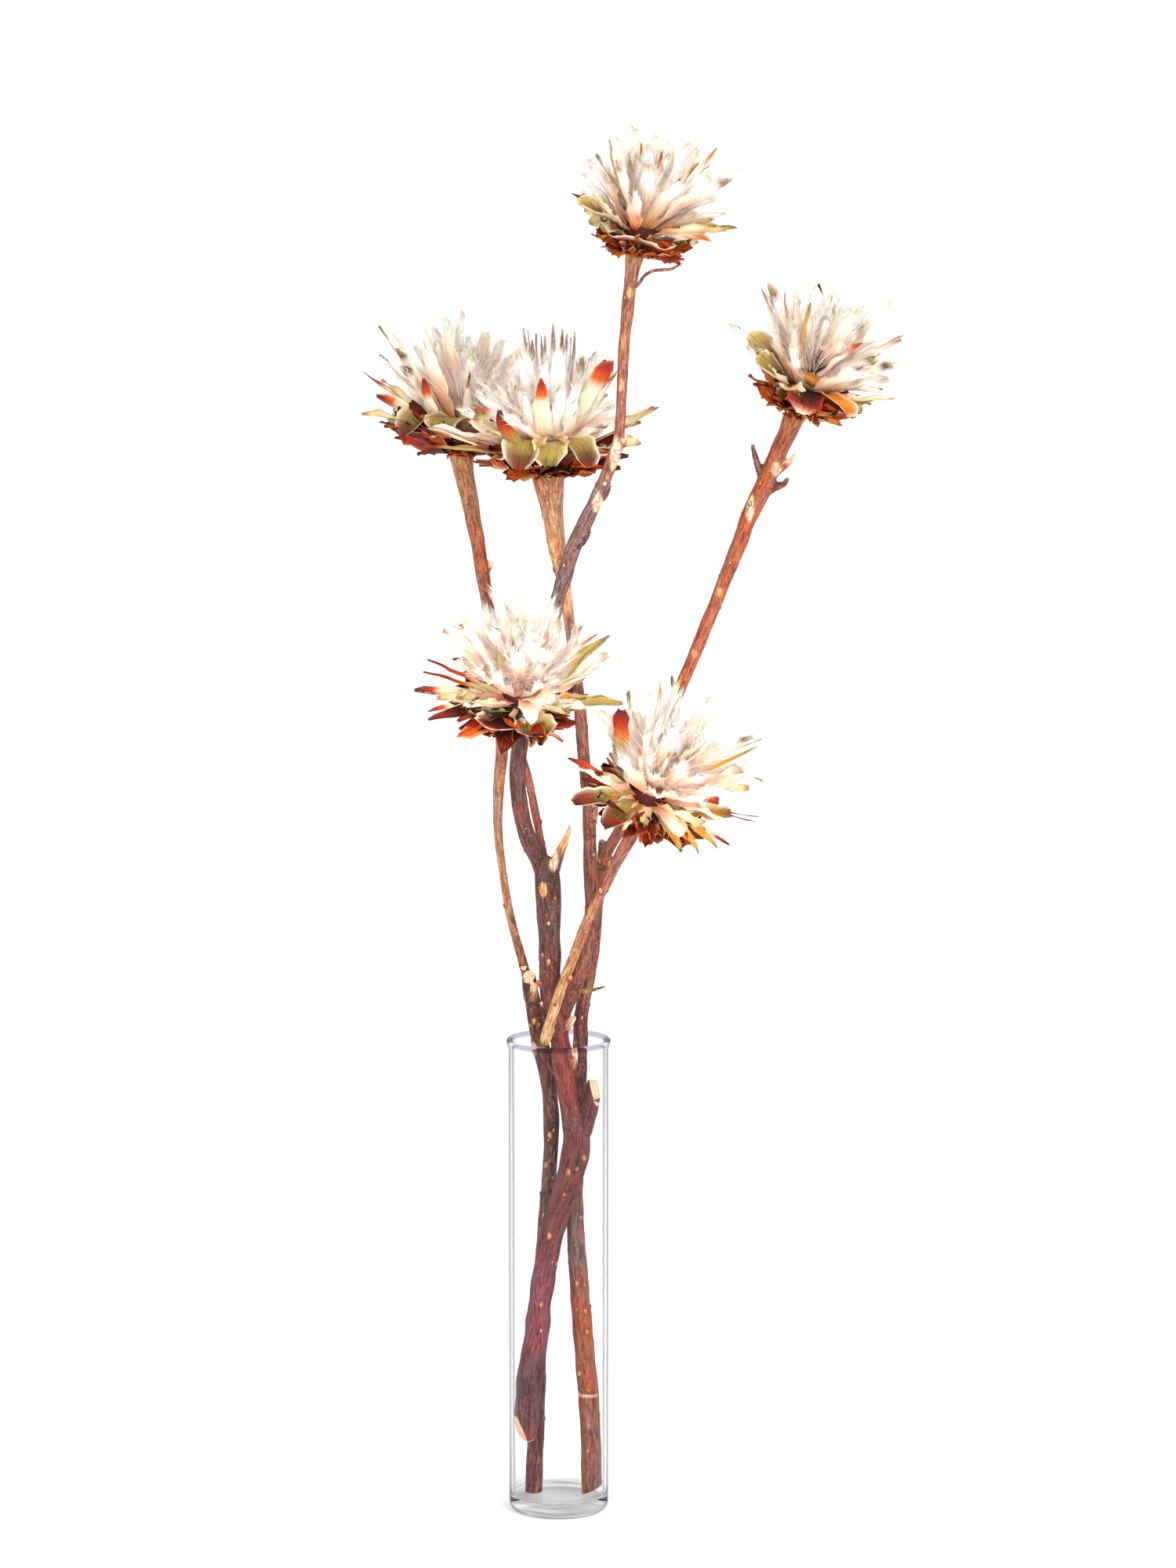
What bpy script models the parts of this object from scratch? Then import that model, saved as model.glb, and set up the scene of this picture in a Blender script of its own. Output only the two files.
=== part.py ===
"""Six dried, opened protea heads on three woody branches, standing in a clear glass cylinder vase.

Metres, +Z up. The origin is the centre of the vase's underside, and -Y is the front of the arrangement.
"""

import math
import random
from dataclasses import dataclass

import bmesh
import bpy
from mathutils import Vector

MM = 0.001
OBJECT_NAME = "dried_protea_vase"
GAP = 0.3  # clearance between neighbouring pieces, in mm
WELD = 0.001  # distance within which corners are one, in mm

# Glass cylinder vase, in mm
VASE_HEIGHT = 250.0
VASE_RADIUS = 26.0
VASE_WALL = 2.0
VASE_FLOOR = 6.5
LIP_RADIUS = 27.0
LIP_DEPTH = 5.0
LIP_ROUND = 0.7
BASE_ROUND = 3.5
INNER_ROUND = 3.0
ROUND_SHARE = 1.0 - math.sqrt(0.5)  # how far a quarter round's middle lies in from its corner
VASE_SIDES = 32

# Branches, in mm
RING_SPACING = 21.0
TUBE_RESOLUTION = 2
FOOT_CUTTER = 40.0
STUB_CUTTER = 14.0
STEM_CUTTER = 18.0

# Bloom heads, in mm and degrees
CORE_SIDES = 6
BRACT_THICKNESS = 1.4
LEAST_THICKNESS_SHARE = 0.9
# Sections of a bract, as share of its length, of its width and of its cup; the last is a blunt edge
SECTIONS = ((0.0, 0.5, 0.4), (0.62, 1.0, 1.0), (1.0, 0.42, 0.7))
# How much one bract differs from the next
AZIMUTH_VARIETY = 0.22  # share of the step between bracts
HEIGHT_VARIETY = 0.4
RISE_VARIETY = 3.0
TIP_RISE_VARIETY = 6.0
CURL_VARIETY = 5.0
LENGTH_VARIETY = (0.86, 1.06)
WIDTH_VARIETY = (0.85, 1.15)
CUP_VARIETY = (0.7, 1.3)
TWIST_VARIETY = 14.0
CROWDING = 2.0  # how soon a bract near a neighbouring head is fully shortened
# Each kind of bract keeps between two cones round the head's axis, given as height at the axis and slope.
CONES = {
    "below": (-60.0, -0.1),
    "scales_bracts": (5.0, 0.12),
    "bracts_silk": (9.5, 0.78),
    "silk_plume": (13.0, 2.3),
    "above": (400.0, 0.0),
}

# Routes of the wood as x, y, z and radius in mm, chosen along each limb from its root to its end
TRUNK = (
    (-17.4, -1.4, 35.5, 5.9), (-16.3, -2.5, 60.3, 6.0), (-14.2, -3.0, 77.3, 6.1),
    (-11.3, -3.5, 94.3, 5.7), (-9.6, -4.0, 111.2, 5.7), (-7.1, -5.0, 128.2, 5.9),
    (-2.2, -7.0, 153.8, 6.3), (3.5, -8.5, 170.8, 6.7), (8.0, -9.0, 187.5, 7.2),
    (9.4, -9.4, 199.0, 7.1), (7.4, -9.5, 210.4, 5.9), (4.8, -9.0, 220.6, 4.9),
    (2.7, -8.0, 236.9, 4.9), (0.3, -7.0, 253.2, 4.5), (-1.6, -6.5, 262.5, 4.1),
    (-3.4, -6.0, 271.0, 4.1), (-4.1, -6.0, 285.9, 4.4), (-4.5, -6.0, 302.3, 4.8),
    (-4.9, -6.0, 318.7, 5.5), (-5.3, -6.0, 331.0, 6.0), (-6.0, -6.0, 340.0, 5.6),
    (-7.5, -6.0, 345.0, 4.0),
)
TRUNK_STUB = (
    (9.0, -9.4, 198.0, 6.4), (13.8, -8.0, 209.0, 5.3), (17.3, -5.4, 221.0, 4.3),
    (18.8, -4.2, 229.0, 3.8),
)
TOP_LIMB = (
    (-5.6, -6.0, 334.0, 5.2), (-10.5, -6.0, 346.5, 4.8), (-14.5, -6.0, 353.5, 4.5),
    (-17.4, -6.0, 361.6, 4.2), (-19.7, -5.0, 373.6, 4.2), (-20.9, -4.0, 387.7, 4.2),
    (-20.1, -1.0, 400.4, 4.3), (-16.9, 4.0, 415.2, 4.2), (-11.7, 7.0, 435.1, 4.1),
    (-5.6, 5.0, 455.8, 4.0), (-1.9, 0.0, 472.6, 4.0), (2.9, -6.0, 489.2, 3.9),
    (7.7, -12.0, 505.6, 4.0), (14.9, -19.0, 521.9, 3.8), (22.4, -25.0, 538.6, 3.3),
    (28.3, -28.0, 554.3, 3.2), (31.1, -30.0, 566.3, 2.7), (32.2, -31.0, 586.1, 2.7),
    (33.4, -32.0, 609.7, 2.9), (35.7, -31.0, 633.2, 3.2), (37.4, -29.4, 647.0, 3.7),
    (38.4, -28.4, 653.4, 4.6), (39.2, -28.0, 658.0, 4.8),
)
LOWER_LEFT_STEM = (
    (-6.6, -2.5, 337.0, 2.6), (-9.0, 1.0, 352.0, 2.3), (-11.4, 4.5, 365.0, 2.2),
    (-14.6, 7.5, 381.0, 2.2), (-19.0, 8.5, 396.0, 2.2), (-25.0, 5.5, 407.0, 2.2),
    (-28.2, -3.0, 412.0, 2.3), (-27.4, -14.0, 413.6, 2.5), (-24.6, -24.0, 414.6, 2.8),
    (-21.8, -32.0, 416.0, 3.3), (-20.0, -38.2, 420.4, 4.2), (-19.2, -41.6, 426.0, 4.8),
)
TRUNK_TIP_STUB = (
    (-4.6, -6.6, 335.0, 4.6), (-1.0, -8.6, 347.0, 3.3), (2.2, -10.6, 355.5, 2.3),
    (4.0, -11.4, 360.0, 1.3),
)
CENTRE_LIMB = (
    (-0.4, -6.5, 253.0, 3.6), (3.6, -5.2, 266.0, 3.8), (8.4, -3.0, 278.0, 4.0),
    (13.3, -1.0, 292.4, 4.0), (16.5, 0.0, 309.5, 3.8), (17.3, 0.0, 321.8, 3.8),
    (16.5, 1.0, 340.1, 3.6), (16.1, 2.0, 358.3, 3.4), (15.3, 3.0, 374.5, 3.2),
    (13.3, 5.0, 394.6, 3.2), (11.7, 8.0, 414.6, 3.2), (9.3, 12.0, 438.6, 3.0),
    (6.4, 15.0, 459.5, 2.9), (4.0, 18.0, 477.9, 3.1), (0.8, 19.5, 494.8, 4.0),
    (-1.6, 20.0, 510.5, 4.8), (-3.4, 20.0, 525.0, 6.0), (-4.4, 20.0, 534.0, 7.4),
    (-5.0, 20.0, 540.0, 8.6), (-5.1, 19.8, 544.0, 8.8),
)
LOWER_RIGHT_STEM = (
    (-6.0, -9.4, 250.5, 2.2), (-3.6, -11.0, 263.0, 2.6), (1.6, -13.5, 279.4, 2.7),
    (8.1, -16.5, 296.3, 2.7), (14.1, -20.0, 313.2, 2.7), (21.7, -24.0, 330.0, 2.8),
    (29.7, -29.0, 347.0, 3.1), (37.0, -35.5, 361.5, 3.5), (40.4, -40.8, 370.6, 3.9),
    (42.4, -44.6, 376.2, 4.7), (43.6, -46.8, 380.0, 5.0),
)
LEFT_LIMB = (
    (-13.3, 3.6, 6.0, 4.7), (-12.5, 7.5, 29.9, 4.5), (-12.0, 9.3, 42.0, 4.5),
    (-11.5, 9.5, 57.0, 4.4), (-10.2, 8.5, 91.1, 4.1), (-8.9, 8.0, 125.0, 3.8),
    (-6.8, 7.5, 158.7, 3.6), (-4.3, 7.0, 183.9, 3.9), (-3.9, 7.0, 200.6, 4.1),
    (-4.3, 7.0, 217.2, 4.1), (-7.1, 8.0, 235.7, 4.5), (-10.3, 8.0, 250.2, 4.6),
    (-12.4, 8.0, 261.8, 4.3), (-13.8, 7.2, 272.0, 3.7), (-15.2, 6.0, 281.0, 3.5),
    (-15.6, 5.6, 284.0, 3.0),
)
FAR_LEFT_STEM = (
    (-12.8, 8.2, 265.0, 3.4), (-14.8, 10.0, 274.0, 2.9), (-17.3, 12.0, 283.4, 2.5),
    (-19.7, 13.0, 291.5, 2.4), (-23.3, 14.0, 305.0, 2.3), (-26.2, 14.5, 317.2, 2.2),
    (-29.0, 15.0, 335.7, 2.2), (-31.0, 16.0, 352.0, 2.3), (-31.4, 17.0, 366.2, 2.6),
    (-30.5, 19.0, 384.4, 3.1), (-29.3, 21.0, 398.4, 3.3), (-30.2, 25.0, 420.4, 3.2),
    (-32.6, 31.0, 444.2, 3.2), (-36.0, 38.0, 467.9, 3.3), (-39.3, 45.0, 485.6, 3.6),
    (-41.9, 53.0, 501.2, 3.8), (-45.3, 63.0, 516.6, 4.3), (-48.6, 76.0, 532.1, 4.9),
    (-51.0, 83.6, 543.6, 6.2), (-52.4, 86.0, 548.6, 6.6),
)
RIGHT_LIMB = (
    (17.5, 1.0, 6.0, 5.5), (17.0, 1.5, 27.5, 5.5), (16.4, 2.0, 48.5, 5.5),
    (14.5, 2.5, 71.6, 5.5), (12.4, 3.0, 96.8, 5.3), (10.4, 4.0, 121.8, 5.1),
    (8.8, 5.0, 150.9, 4.6), (8.8, 6.0, 175.8, 4.1), (10.0, 7.0, 200.6, 3.9),
    (11.2, 7.0, 225.5, 3.7), (11.2, 7.5, 246.2, 3.9), (12.0, 8.5, 262.6, 3.7),
    (14.5, 10.0, 275.5, 3.7), (17.7, 13.0, 292.7, 3.5), (19.8, 15.0, 315.1, 3.3),
    (21.4, 16.0, 333.5, 3.1), (25.9, 16.0, 346.2, 3.0), (33.6, 16.0, 360.2, 3.0),
    (41.7, 17.0, 378.5, 3.0), (49.7, 17.0, 399.0, 3.0), (57.0, 17.0, 416.6, 3.0),
    (63.8, 16.0, 433.0, 3.2), (72.6, 15.0, 454.3, 3.4), (79.0, 14.0, 470.6, 3.4),
    (85.7, 13.0, 487.7, 3.6), (92.1, 12.0, 504.0, 4.0), (98.0, 11.0, 520.2, 4.4),
    (104.3, 10.0, 533.5, 4.8), (110.2, 9.4, 547.6, 4.5), (116.1, 9.0, 561.3, 4.7),
    (120.8, 7.0, 571.6, 5.6), (123.4, 4.2, 576.6, 6.0),
)

# Sawn ends as a place on the cut in mm and the way it faces
DOWN = (0.0, 0.0, -1.0)
TRUNK_FOOT = (-17.5, -1.5, 41.5)
TRUNK_FOOT_FACING = (-0.9, -0.4, -1.0)
STUB_FACE = (18.4, -4.6, 227.0)
STUB_FACE_FACING = (0.5, -0.7, 0.9)
RIGHT_FOOT = (17.8, 1.0, 9.4)
RIGHT_FOOT_FACING = (0.5, 0.0, -1.0)

# Short twigs and broken spurs, each from inside the limb that carries it
FRONT_TWIGS = (
    ((0.0, -8.0, 254.0, 2.0), (3.6, -9.4, 259.0, 1.6), (6.6, -10.4, 264.0, 1.1)),
    ((15.8, 1.4, 366.0, 2.2), (18.9, 0.6, 372.0, 1.8), (19.6, 0.2, 376.0, 1.3)),
    ((22.0, -24.6, 537.0, 2.0), (24.8, -26.4, 531.5, 1.5), (26.4, -27.2, 528.5, 1.0)),
    ((29.4, -28.6, 556.0, 2.2), (33.4, -29.6, 561.5, 1.9), (34.2, -29.8, 565.0, 1.3)),
    ((14.0, -18.4, 520.5, 1.8), (15.6, -16.6, 513.0, 1.4), (17.4, -15.6, 511.0, 0.9)),
)
TOP_TENDRIL = (
    (36.6, -30.6, 637.5, 1.3), (40.6, -32.6, 640.5, 0.9), (43.6, -33.4, 644.6, 0.8),
    (48.0, -33.8, 647.0, 0.8), (53.0, -33.6, 647.4, 0.8), (57.0, -33.0, 646.6, 0.7),
)
RIGHT_TWIGS = (
    ((22.0, 16.0, 338.0, 2.6), (22.6, 15.0, 346.5, 2.3), (22.2, 14.6, 352.0, 1.5)),
    ((102.0, 9.4, 531.0, 2.6), (99.6, 7.6, 540.5, 2.1), (98.6, 6.8, 550.0, 1.6), (98.0, 6.6, 553.0, 1.0)),
    ((108.0, 8.6, 543.0, 2.6), (113.6, 6.8, 545.5, 2.1), (117.0, 6.0, 548.6, 1.2)),
    ((104.6, 9.6, 534.5, 2.6), (112.0, 8.6, 536.0, 2.2), (115.2, 8.2, 533.6, 1.4)),
)
LEFT_TWIGS = (
    ((-39.4, 46.0, 487.0, 2.4), (-35.8, 47.0, 490.5, 1.7), (-34.6, 47.4, 493.0, 1.0)),
    ((-8.0, 7.6, 240.0, 2.6), (-12.6, 4.6, 243.0, 1.8), (-14.0, 4.0, 246.0, 1.1)),
)


@dataclass(frozen=True)
class Head:
    """One bloom: where it sits, how it leans and how far its bracts reach."""

    name: str
    base: tuple  # centre of its underside, in mm
    lean_right: float
    lean_front: float
    scale_reach: float
    bract_reach: float
    silk_reach: float
    plume_reach: float
    lopsided: float  # share by which bracts towards lopsided_to are longer
    lopsided_to: float
    seed: int
    crowded: tuple = ()  # azimuth, half width and length share where a neighbour presses


@dataclass(frozen=True)
class Bract:
    """One bract in its head's frame, in mm and degrees."""

    azimuth: float
    root_radius: float
    root_height: float
    rise_start: float
    rise_end: float
    length: float
    width: float
    cup: float
    twist: float


HEADS = (
    Head("top", (38.6, -28.2, 655.2), 14.0, 8.0, 30.0, 50.0, 56.0, 42.0, 0.12, 0.0, 11),
    Head("right", (122.0, 5.8, 574.2), 20.0, 14.0, 34.0, 51.0, 60.0, 46.0, 0.06, 0.0, 23),
    Head(
        "far_left", (-51.4, 85.0, 545.6), -6.0, 0.0, 46.0, 57.0, 56.0, 46.0, 0.08, 180.0, 37,
        ((-55.0, 45.0, 0.66),),
    ),
    Head(
        "centre", (-5.1, 20.0, 541.2), 0.0, 7.0, 51.0, 61.0, 58.0, 56.0, 0.0, 0.0, 41,
        ((125.0, 45.0, 0.7),),
    ),
    Head(
        "lower_left", (-19.4, -41.4, 424.8), 4.0, 26.0, 44.0, 57.0, 57.0, 46.0, 0.04, 0.0, 53,
        ((-24.0, 30.0, 0.84),),
    ),
    Head("lower_right", (42.8, -45.2, 377.0), 14.0, 28.0, 40.0, 54.0, 60.0, 51.0, 0.1, 0.0, 67),
)

# Rows of bracts: count, root radius, root height, rise at root, rise at tip, length share, width, cup
SCALE_ROWS = (
    (7, 6.0, 2.0, -10.0, 2.0, 0.74, 10.4, 1.0),
    (8, 6.0, 3.4, -1.0, 10.0, 1.0, 10.0, 1.4),
)
BRACT_ROWS = (
    (6, 5.0, 7.2, 8.0, 28.0, 0.56, 14.6, 3.8),
    (8, 5.0, 11.2, 21.0, 27.0, 1.0, 12.2, 2.6),
)
SILK_ROWS = (
    (8, 3.4, 14.2, 42.0, 38.0, 1.0, 11.6, 2.0),
    (6, 3.0, 17.8, 60.0, 52.0, 1.0, 11.6, 1.8),
)
PLUME_ROWS = (
    (5, 1.6, 20.0, 69.0, 71.0, 1.0, 10.6, 1.4),
    (2, 0.6, 20.0, 82.0, 86.0, 1.04, 9.6, 0.8),
)


@dataclass(frozen=True)
class Kind:
    """A colour of bract that holds together as one body on each head."""

    name: str
    rows: tuple
    reach: str
    under: str
    over: str
    core: tuple  # outer outline of the turned core, as radius and height, top to bottom
    colour: tuple


def lower_edge(cone, radius):
    """Height of the first place above a dividing cone."""
    height, slope = CONES[cone]
    return height + slope * radius + GAP


def upper_edge(cone, radius):
    """Height of the last place below a dividing cone."""
    height, slope = CONES[cone]
    return height + slope * radius - GAP


KINDS = (
    Kind(
        "scales", SCALE_ROWS, "scale_reach", "below", "scales_bracts",
        ((0.0, 4.8), (10.0, 5.9), (11.5, 4.0), (8.0, 0.0), (0.0, 0.0)),
        (0.33, 0.07, 0.03, 1.0),
    ),
    Kind(
        "bracts", BRACT_ROWS, "bract_reach", "scales_bracts", "bracts_silk",
        ((0.0, 9.0), (8.0, 15.2), (9.5, 13.0), (9.2, 6.3), (0.0, 5.2)),
        (0.62, 0.52, 0.33, 1.0),
    ),
    Kind(
        "silk", SILK_ROWS, "silk_reach", "bracts_silk", "silk_plume",
        ((0.0, 12.0), (4.0, 21.2), (6.0, 19.5), (6.2, 14.4), (0.0, 9.6)),
        (0.85, 0.80, 0.72, 1.0),
    ),
    Kind(
        "plume", PLUME_ROWS, "plume_reach", "silk_plume", "above",
        ((0.0, 26.0), (2.6, 25.0), (3.4, 21.4), (0.0, 13.6)),
        (0.88, 0.72, 0.62, 1.0),
    ),
)


def clear_scene():
    """Remove every object of the open scene."""
    for obj in list(bpy.data.objects):
        bpy.data.objects.remove(obj, do_unlink=True)


def new_collection(name):
    """Make a collection in the scene."""
    collection = bpy.data.collections.new(name)
    bpy.context.scene.collection.children.link(collection)
    return collection


def new_material(name, colour, roughness, alpha=1.0):
    """Make a material whose Principled BSDF has the given values."""
    material = bpy.data.materials.new(name)
    material.use_nodes = True
    shader = material.node_tree.nodes["Principled BSDF"]
    shader.inputs["Base Color"].default_value = colour
    shader.inputs["Roughness"].default_value = roughness
    shader.inputs["Metallic"].default_value = 0.0
    shader.inputs["Alpha"].default_value = alpha
    return material


def mesh_object(name, bm, collection):
    """Turn a bmesh into an object and free the bmesh."""
    mesh = bpy.data.meshes.new(name)
    bm.to_mesh(mesh)
    bm.free()
    obj = bpy.data.objects.new(name, mesh)
    collection.objects.link(obj)
    return obj


def evaluated_mesh(obj):
    """Return a new mesh with the object's modifiers or bevel applied."""
    depsgraph = bpy.context.evaluated_depsgraph_get()
    return bpy.data.meshes.new_from_object(obj.evaluated_get(depsgraph))


def turned_object(name, outline, sides, collection):
    """Turn an outline of radius and height in mm round Z, down its outer side from the axis to the axis."""
    bm = bmesh.new()
    verts = [bm.verts.new((radius * MM, 0.0, height * MM)) for radius, height in outline]
    for upper, lower in zip(verts, verts[1:]):
        bm.edges.new((upper, lower))
    obj = mesh_object(name, bm, collection)
    screw = obj.modifiers.new("turn", "SCREW")
    screw.axis = "Z"
    screw.steps = sides
    screw.render_steps = sides
    screw.use_merge_vertices = True
    screw.merge_threshold = WELD * MM
    return obj


def smooth_route(points):
    """Return places along a smooth curve through hand-set points, about RING_SPACING apart."""
    knots = [Vector(point) for point in points]
    places = [knots[0]]
    for index in range(len(knots) - 1):
        start, end = knots[index], knots[index + 1]
        before = knots[index - 1] if index else start * 2 - end
        after = knots[index + 2] if index + 2 < len(knots) else end * 2 - start
        steps = max(1, round((end.xyz - start.xyz).length / RING_SPACING))
        for step in range(1, steps + 1):
            t = step / steps
            place = (
                start * 2
                + (end - before) * t
                + (before * 2 - start * 5 + end * 4 - after) * t**2
                + (start * 3 - before - end * 3 + after) * t**3
            )
            places.append(place / 2)
    return places


def wood_tube(name, points, collection):
    """Make a closed tapering tube along a smooth route as a mesh object."""
    curve = bpy.data.curves.new(name, "CURVE")
    curve.dimensions = "3D"
    curve.bevel_depth = MM
    curve.bevel_resolution = TUBE_RESOLUTION
    curve.use_fill_caps = True
    places = smooth_route(points)
    spline = curve.splines.new("POLY")
    spline.points.add(len(places) - 1)
    for point, place in zip(spline.points, places):
        point.co = (place.x * MM, place.y * MM, place.z * MM, 1.0)
        point.radius = place.w
    guide = bpy.data.objects.new(name + "_route", curve)
    collection.objects.link(guide)
    mesh = evaluated_mesh(guide)
    bm = bmesh.new()
    bm.from_mesh(mesh)
    bpy.data.meshes.remove(mesh)
    bmesh.ops.remove_doubles(bm, verts=bm.verts, dist=WELD * MM)
    bmesh.ops.recalc_face_normals(bm, faces=bm.faces)
    tube = mesh_object(name, bm, collection)
    tube.matrix_world = guide.matrix_world
    bpy.data.objects.remove(guide, do_unlink=True)
    return tube


def keep_outer_shell(bm):
    """Drop loose scraps and fill sealed hollows, which leaves the largest shell."""
    unseen = set(bm.faces)
    shells = []
    while unseen:
        shell = set()
        waiting = [unseen.pop()]
        while waiting:
            face = waiting.pop()
            shell.add(face)
            for edge in face.edges:
                for other in edge.link_faces:
                    if other in unseen:
                        unseen.discard(other)
                        waiting.append(other)
        shells.append(shell)
    largest = max(shells, key=lambda shell: sum(face.calc_area() for face in shell))
    scraps = [face for shell in shells if shell is not largest for face in shell]
    bmesh.ops.delete(bm, geom=scraps, context="FACES")
    bmesh.ops.delete(bm, geom=[edge for edge in bm.edges if not edge.link_faces], context="EDGES")
    bmesh.ops.delete(bm, geom=[vert for vert in bm.verts if not vert.link_faces], context="VERTS")


def fuse(name, pieces, cutters, collection, solver):
    """Join closed pieces into one body in the collection, and cut it with the cutters."""
    first, rest = pieces[0], pieces[1:]
    joined = bpy.data.collections.new(name + "_joined")
    for piece in rest:
        joined.objects.link(piece)
    union = first.modifiers.new("join", "BOOLEAN")
    union.operation = "UNION"
    union.operand_type = "COLLECTION"
    union.collection = joined
    union.solver = solver
    for cutter in cutters:
        cut = first.modifiers.new("cut", "BOOLEAN")
        cut.operation = "DIFFERENCE"
        cut.object = cutter
        cut.solver = solver
    mesh = evaluated_mesh(first)
    for piece in pieces:
        bpy.data.objects.remove(piece, do_unlink=True)
    bpy.data.collections.remove(joined)
    bm = bmesh.new()
    bm.from_mesh(mesh)
    bpy.data.meshes.remove(mesh)
    bmesh.ops.triangulate(bm, faces=bm.faces)
    keep_outer_shell(bm)
    return mesh_object(name, bm, collection)


def end_cutter(name, place, facing, size, collection):
    """Make a box that trims everything past a place, on the side that facing points to."""
    bm = bmesh.new()
    bmesh.ops.create_cube(bm, size=size * MM)
    cutter = mesh_object(name, bm, collection)
    direction = Vector(facing).normalized()
    cutter.location = (Vector(place) + direction * size / 2) * MM
    cutter.rotation_euler = direction.to_track_quat("Z", "Y").to_euler()
    cutter.hide_render = True
    cutter.display_type = "WIRE"
    return cutter


def build_vase(collection):
    """Build the glass cylinder with its thick base and its slightly flared, rounded lip."""
    inner = VASE_RADIUS - VASE_WALL
    outline = [
        (0.0, VASE_FLOOR),
        (inner - INNER_ROUND, VASE_FLOOR),
        (inner - INNER_ROUND * ROUND_SHARE, VASE_FLOOR + INNER_ROUND * ROUND_SHARE),
        (inner, VASE_FLOOR + INNER_ROUND),
        (inner, VASE_HEIGHT - LIP_DEPTH),
        (inner + LIP_ROUND, VASE_HEIGHT - LIP_ROUND),
        ((inner + LIP_RADIUS) / 2, VASE_HEIGHT),
        (LIP_RADIUS, VASE_HEIGHT - LIP_ROUND),
        (LIP_RADIUS - LIP_ROUND / 2, VASE_HEIGHT - LIP_DEPTH / 2),
        (VASE_RADIUS, VASE_HEIGHT - LIP_DEPTH),
        (VASE_RADIUS, BASE_ROUND),
        (VASE_RADIUS - BASE_ROUND * ROUND_SHARE, BASE_ROUND * ROUND_SHARE),
        (VASE_RADIUS - BASE_ROUND, 0.0),
        (0.0, 0.0),
    ]
    vase = turned_object("vase", outline, VASE_SIDES, collection)
    vase.data.materials.append(new_material("clear glass", (0.93, 0.97, 0.98, 1.0), 0.03, 0.3))
    return vase


def build_branch(name, limbs, cutters, colour, collection):
    """Fuse the limbs of one branch into a single woody body."""
    tubes = [wood_tube(f"{name}_limb_{index}", limb, collection) for index, limb in enumerate(limbs)]
    branch = fuse(name, tubes, cutters, collection, "EXACT")
    branch.data.materials.append(new_material(name + " bark", colour, 0.8))
    return branch


def stem_cutters(names, collection):
    """Trim the stems square under the named heads, a gap below each head."""
    made = []
    for head in HEADS:
        if head.name in names:
            axis = head_axis(head)
            place = Vector(head.base) - axis * GAP
            made.append(end_cutter(f"{head.name}_seat_cut", place, axis, STEM_CUTTER, collection))
    return made


def build_branches(collection, cutters):
    """Build the three branches that stand in the vase."""
    seat = VASE_FLOOR + GAP
    front = (TRUNK, TRUNK_STUB, TOP_LIMB, LOWER_LEFT_STEM, TRUNK_TIP_STUB, CENTRE_LIMB, LOWER_RIGHT_STEM)
    front_cuts = stem_cutters(("top", "centre", "lower_left", "lower_right"), cutters)
    front_cuts.append(end_cutter("trunk_foot_cut", TRUNK_FOOT, TRUNK_FOOT_FACING, FOOT_CUTTER, cutters))
    front_cuts.append(end_cutter("stub_face_cut", STUB_FACE, STUB_FACE_FACING, STUB_CUTTER, cutters))
    colour = (0.16, 0.07, 0.05, 1.0)
    build_branch("branch_front", front + (TOP_TENDRIL,) + FRONT_TWIGS, front_cuts, colour, collection)
    left_cuts = stem_cutters(("far_left",), cutters)
    left_cuts.append(end_cutter("left_foot_cut", (*LEFT_LIMB[0][:2], seat), DOWN, FOOT_CUTTER, cutters))
    colour = (0.24, 0.12, 0.07, 1.0)
    build_branch("branch_left", (LEFT_LIMB, FAR_LEFT_STEM) + LEFT_TWIGS, left_cuts, colour, collection)
    right_cuts = stem_cutters(("right",), cutters)
    right_cuts.append(end_cutter("right_slant_cut", RIGHT_FOOT, RIGHT_FOOT_FACING, FOOT_CUTTER, cutters))
    right_cuts.append(end_cutter("right_foot_cut", (*RIGHT_LIMB[0][:2], seat), DOWN, FOOT_CUTTER, cutters))
    colour = (0.28, 0.10, 0.05, 1.0)
    build_branch("branch_right", (RIGHT_LIMB,) + RIGHT_TWIGS, right_cuts, colour, collection)


def head_axis(head):
    """Direction in which a head faces."""
    right, front = math.radians(head.lean_right), math.radians(head.lean_front)
    return Vector((math.sin(right) * math.cos(front), -math.sin(front), math.cos(right) * math.cos(front)))


def turn_gap(first, second):
    """Smallest angle between two azimuths, in degrees."""
    return abs((first - second + 180.0) % 360.0 - 180.0)


def reach_share(head, azimuth):
    """Share of the full length that a bract has towards an azimuth."""
    share = 1.0 + head.lopsided * math.cos(math.radians(azimuth - head.lopsided_to))
    for centre, half_width, least in head.crowded:
        nearness = max(0.0, 1.0 - turn_gap(azimuth, centre) / half_width)
        share *= 1.0 - (1.0 - least) * min(1.0, nearness * CROWDING)
    return share


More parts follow.
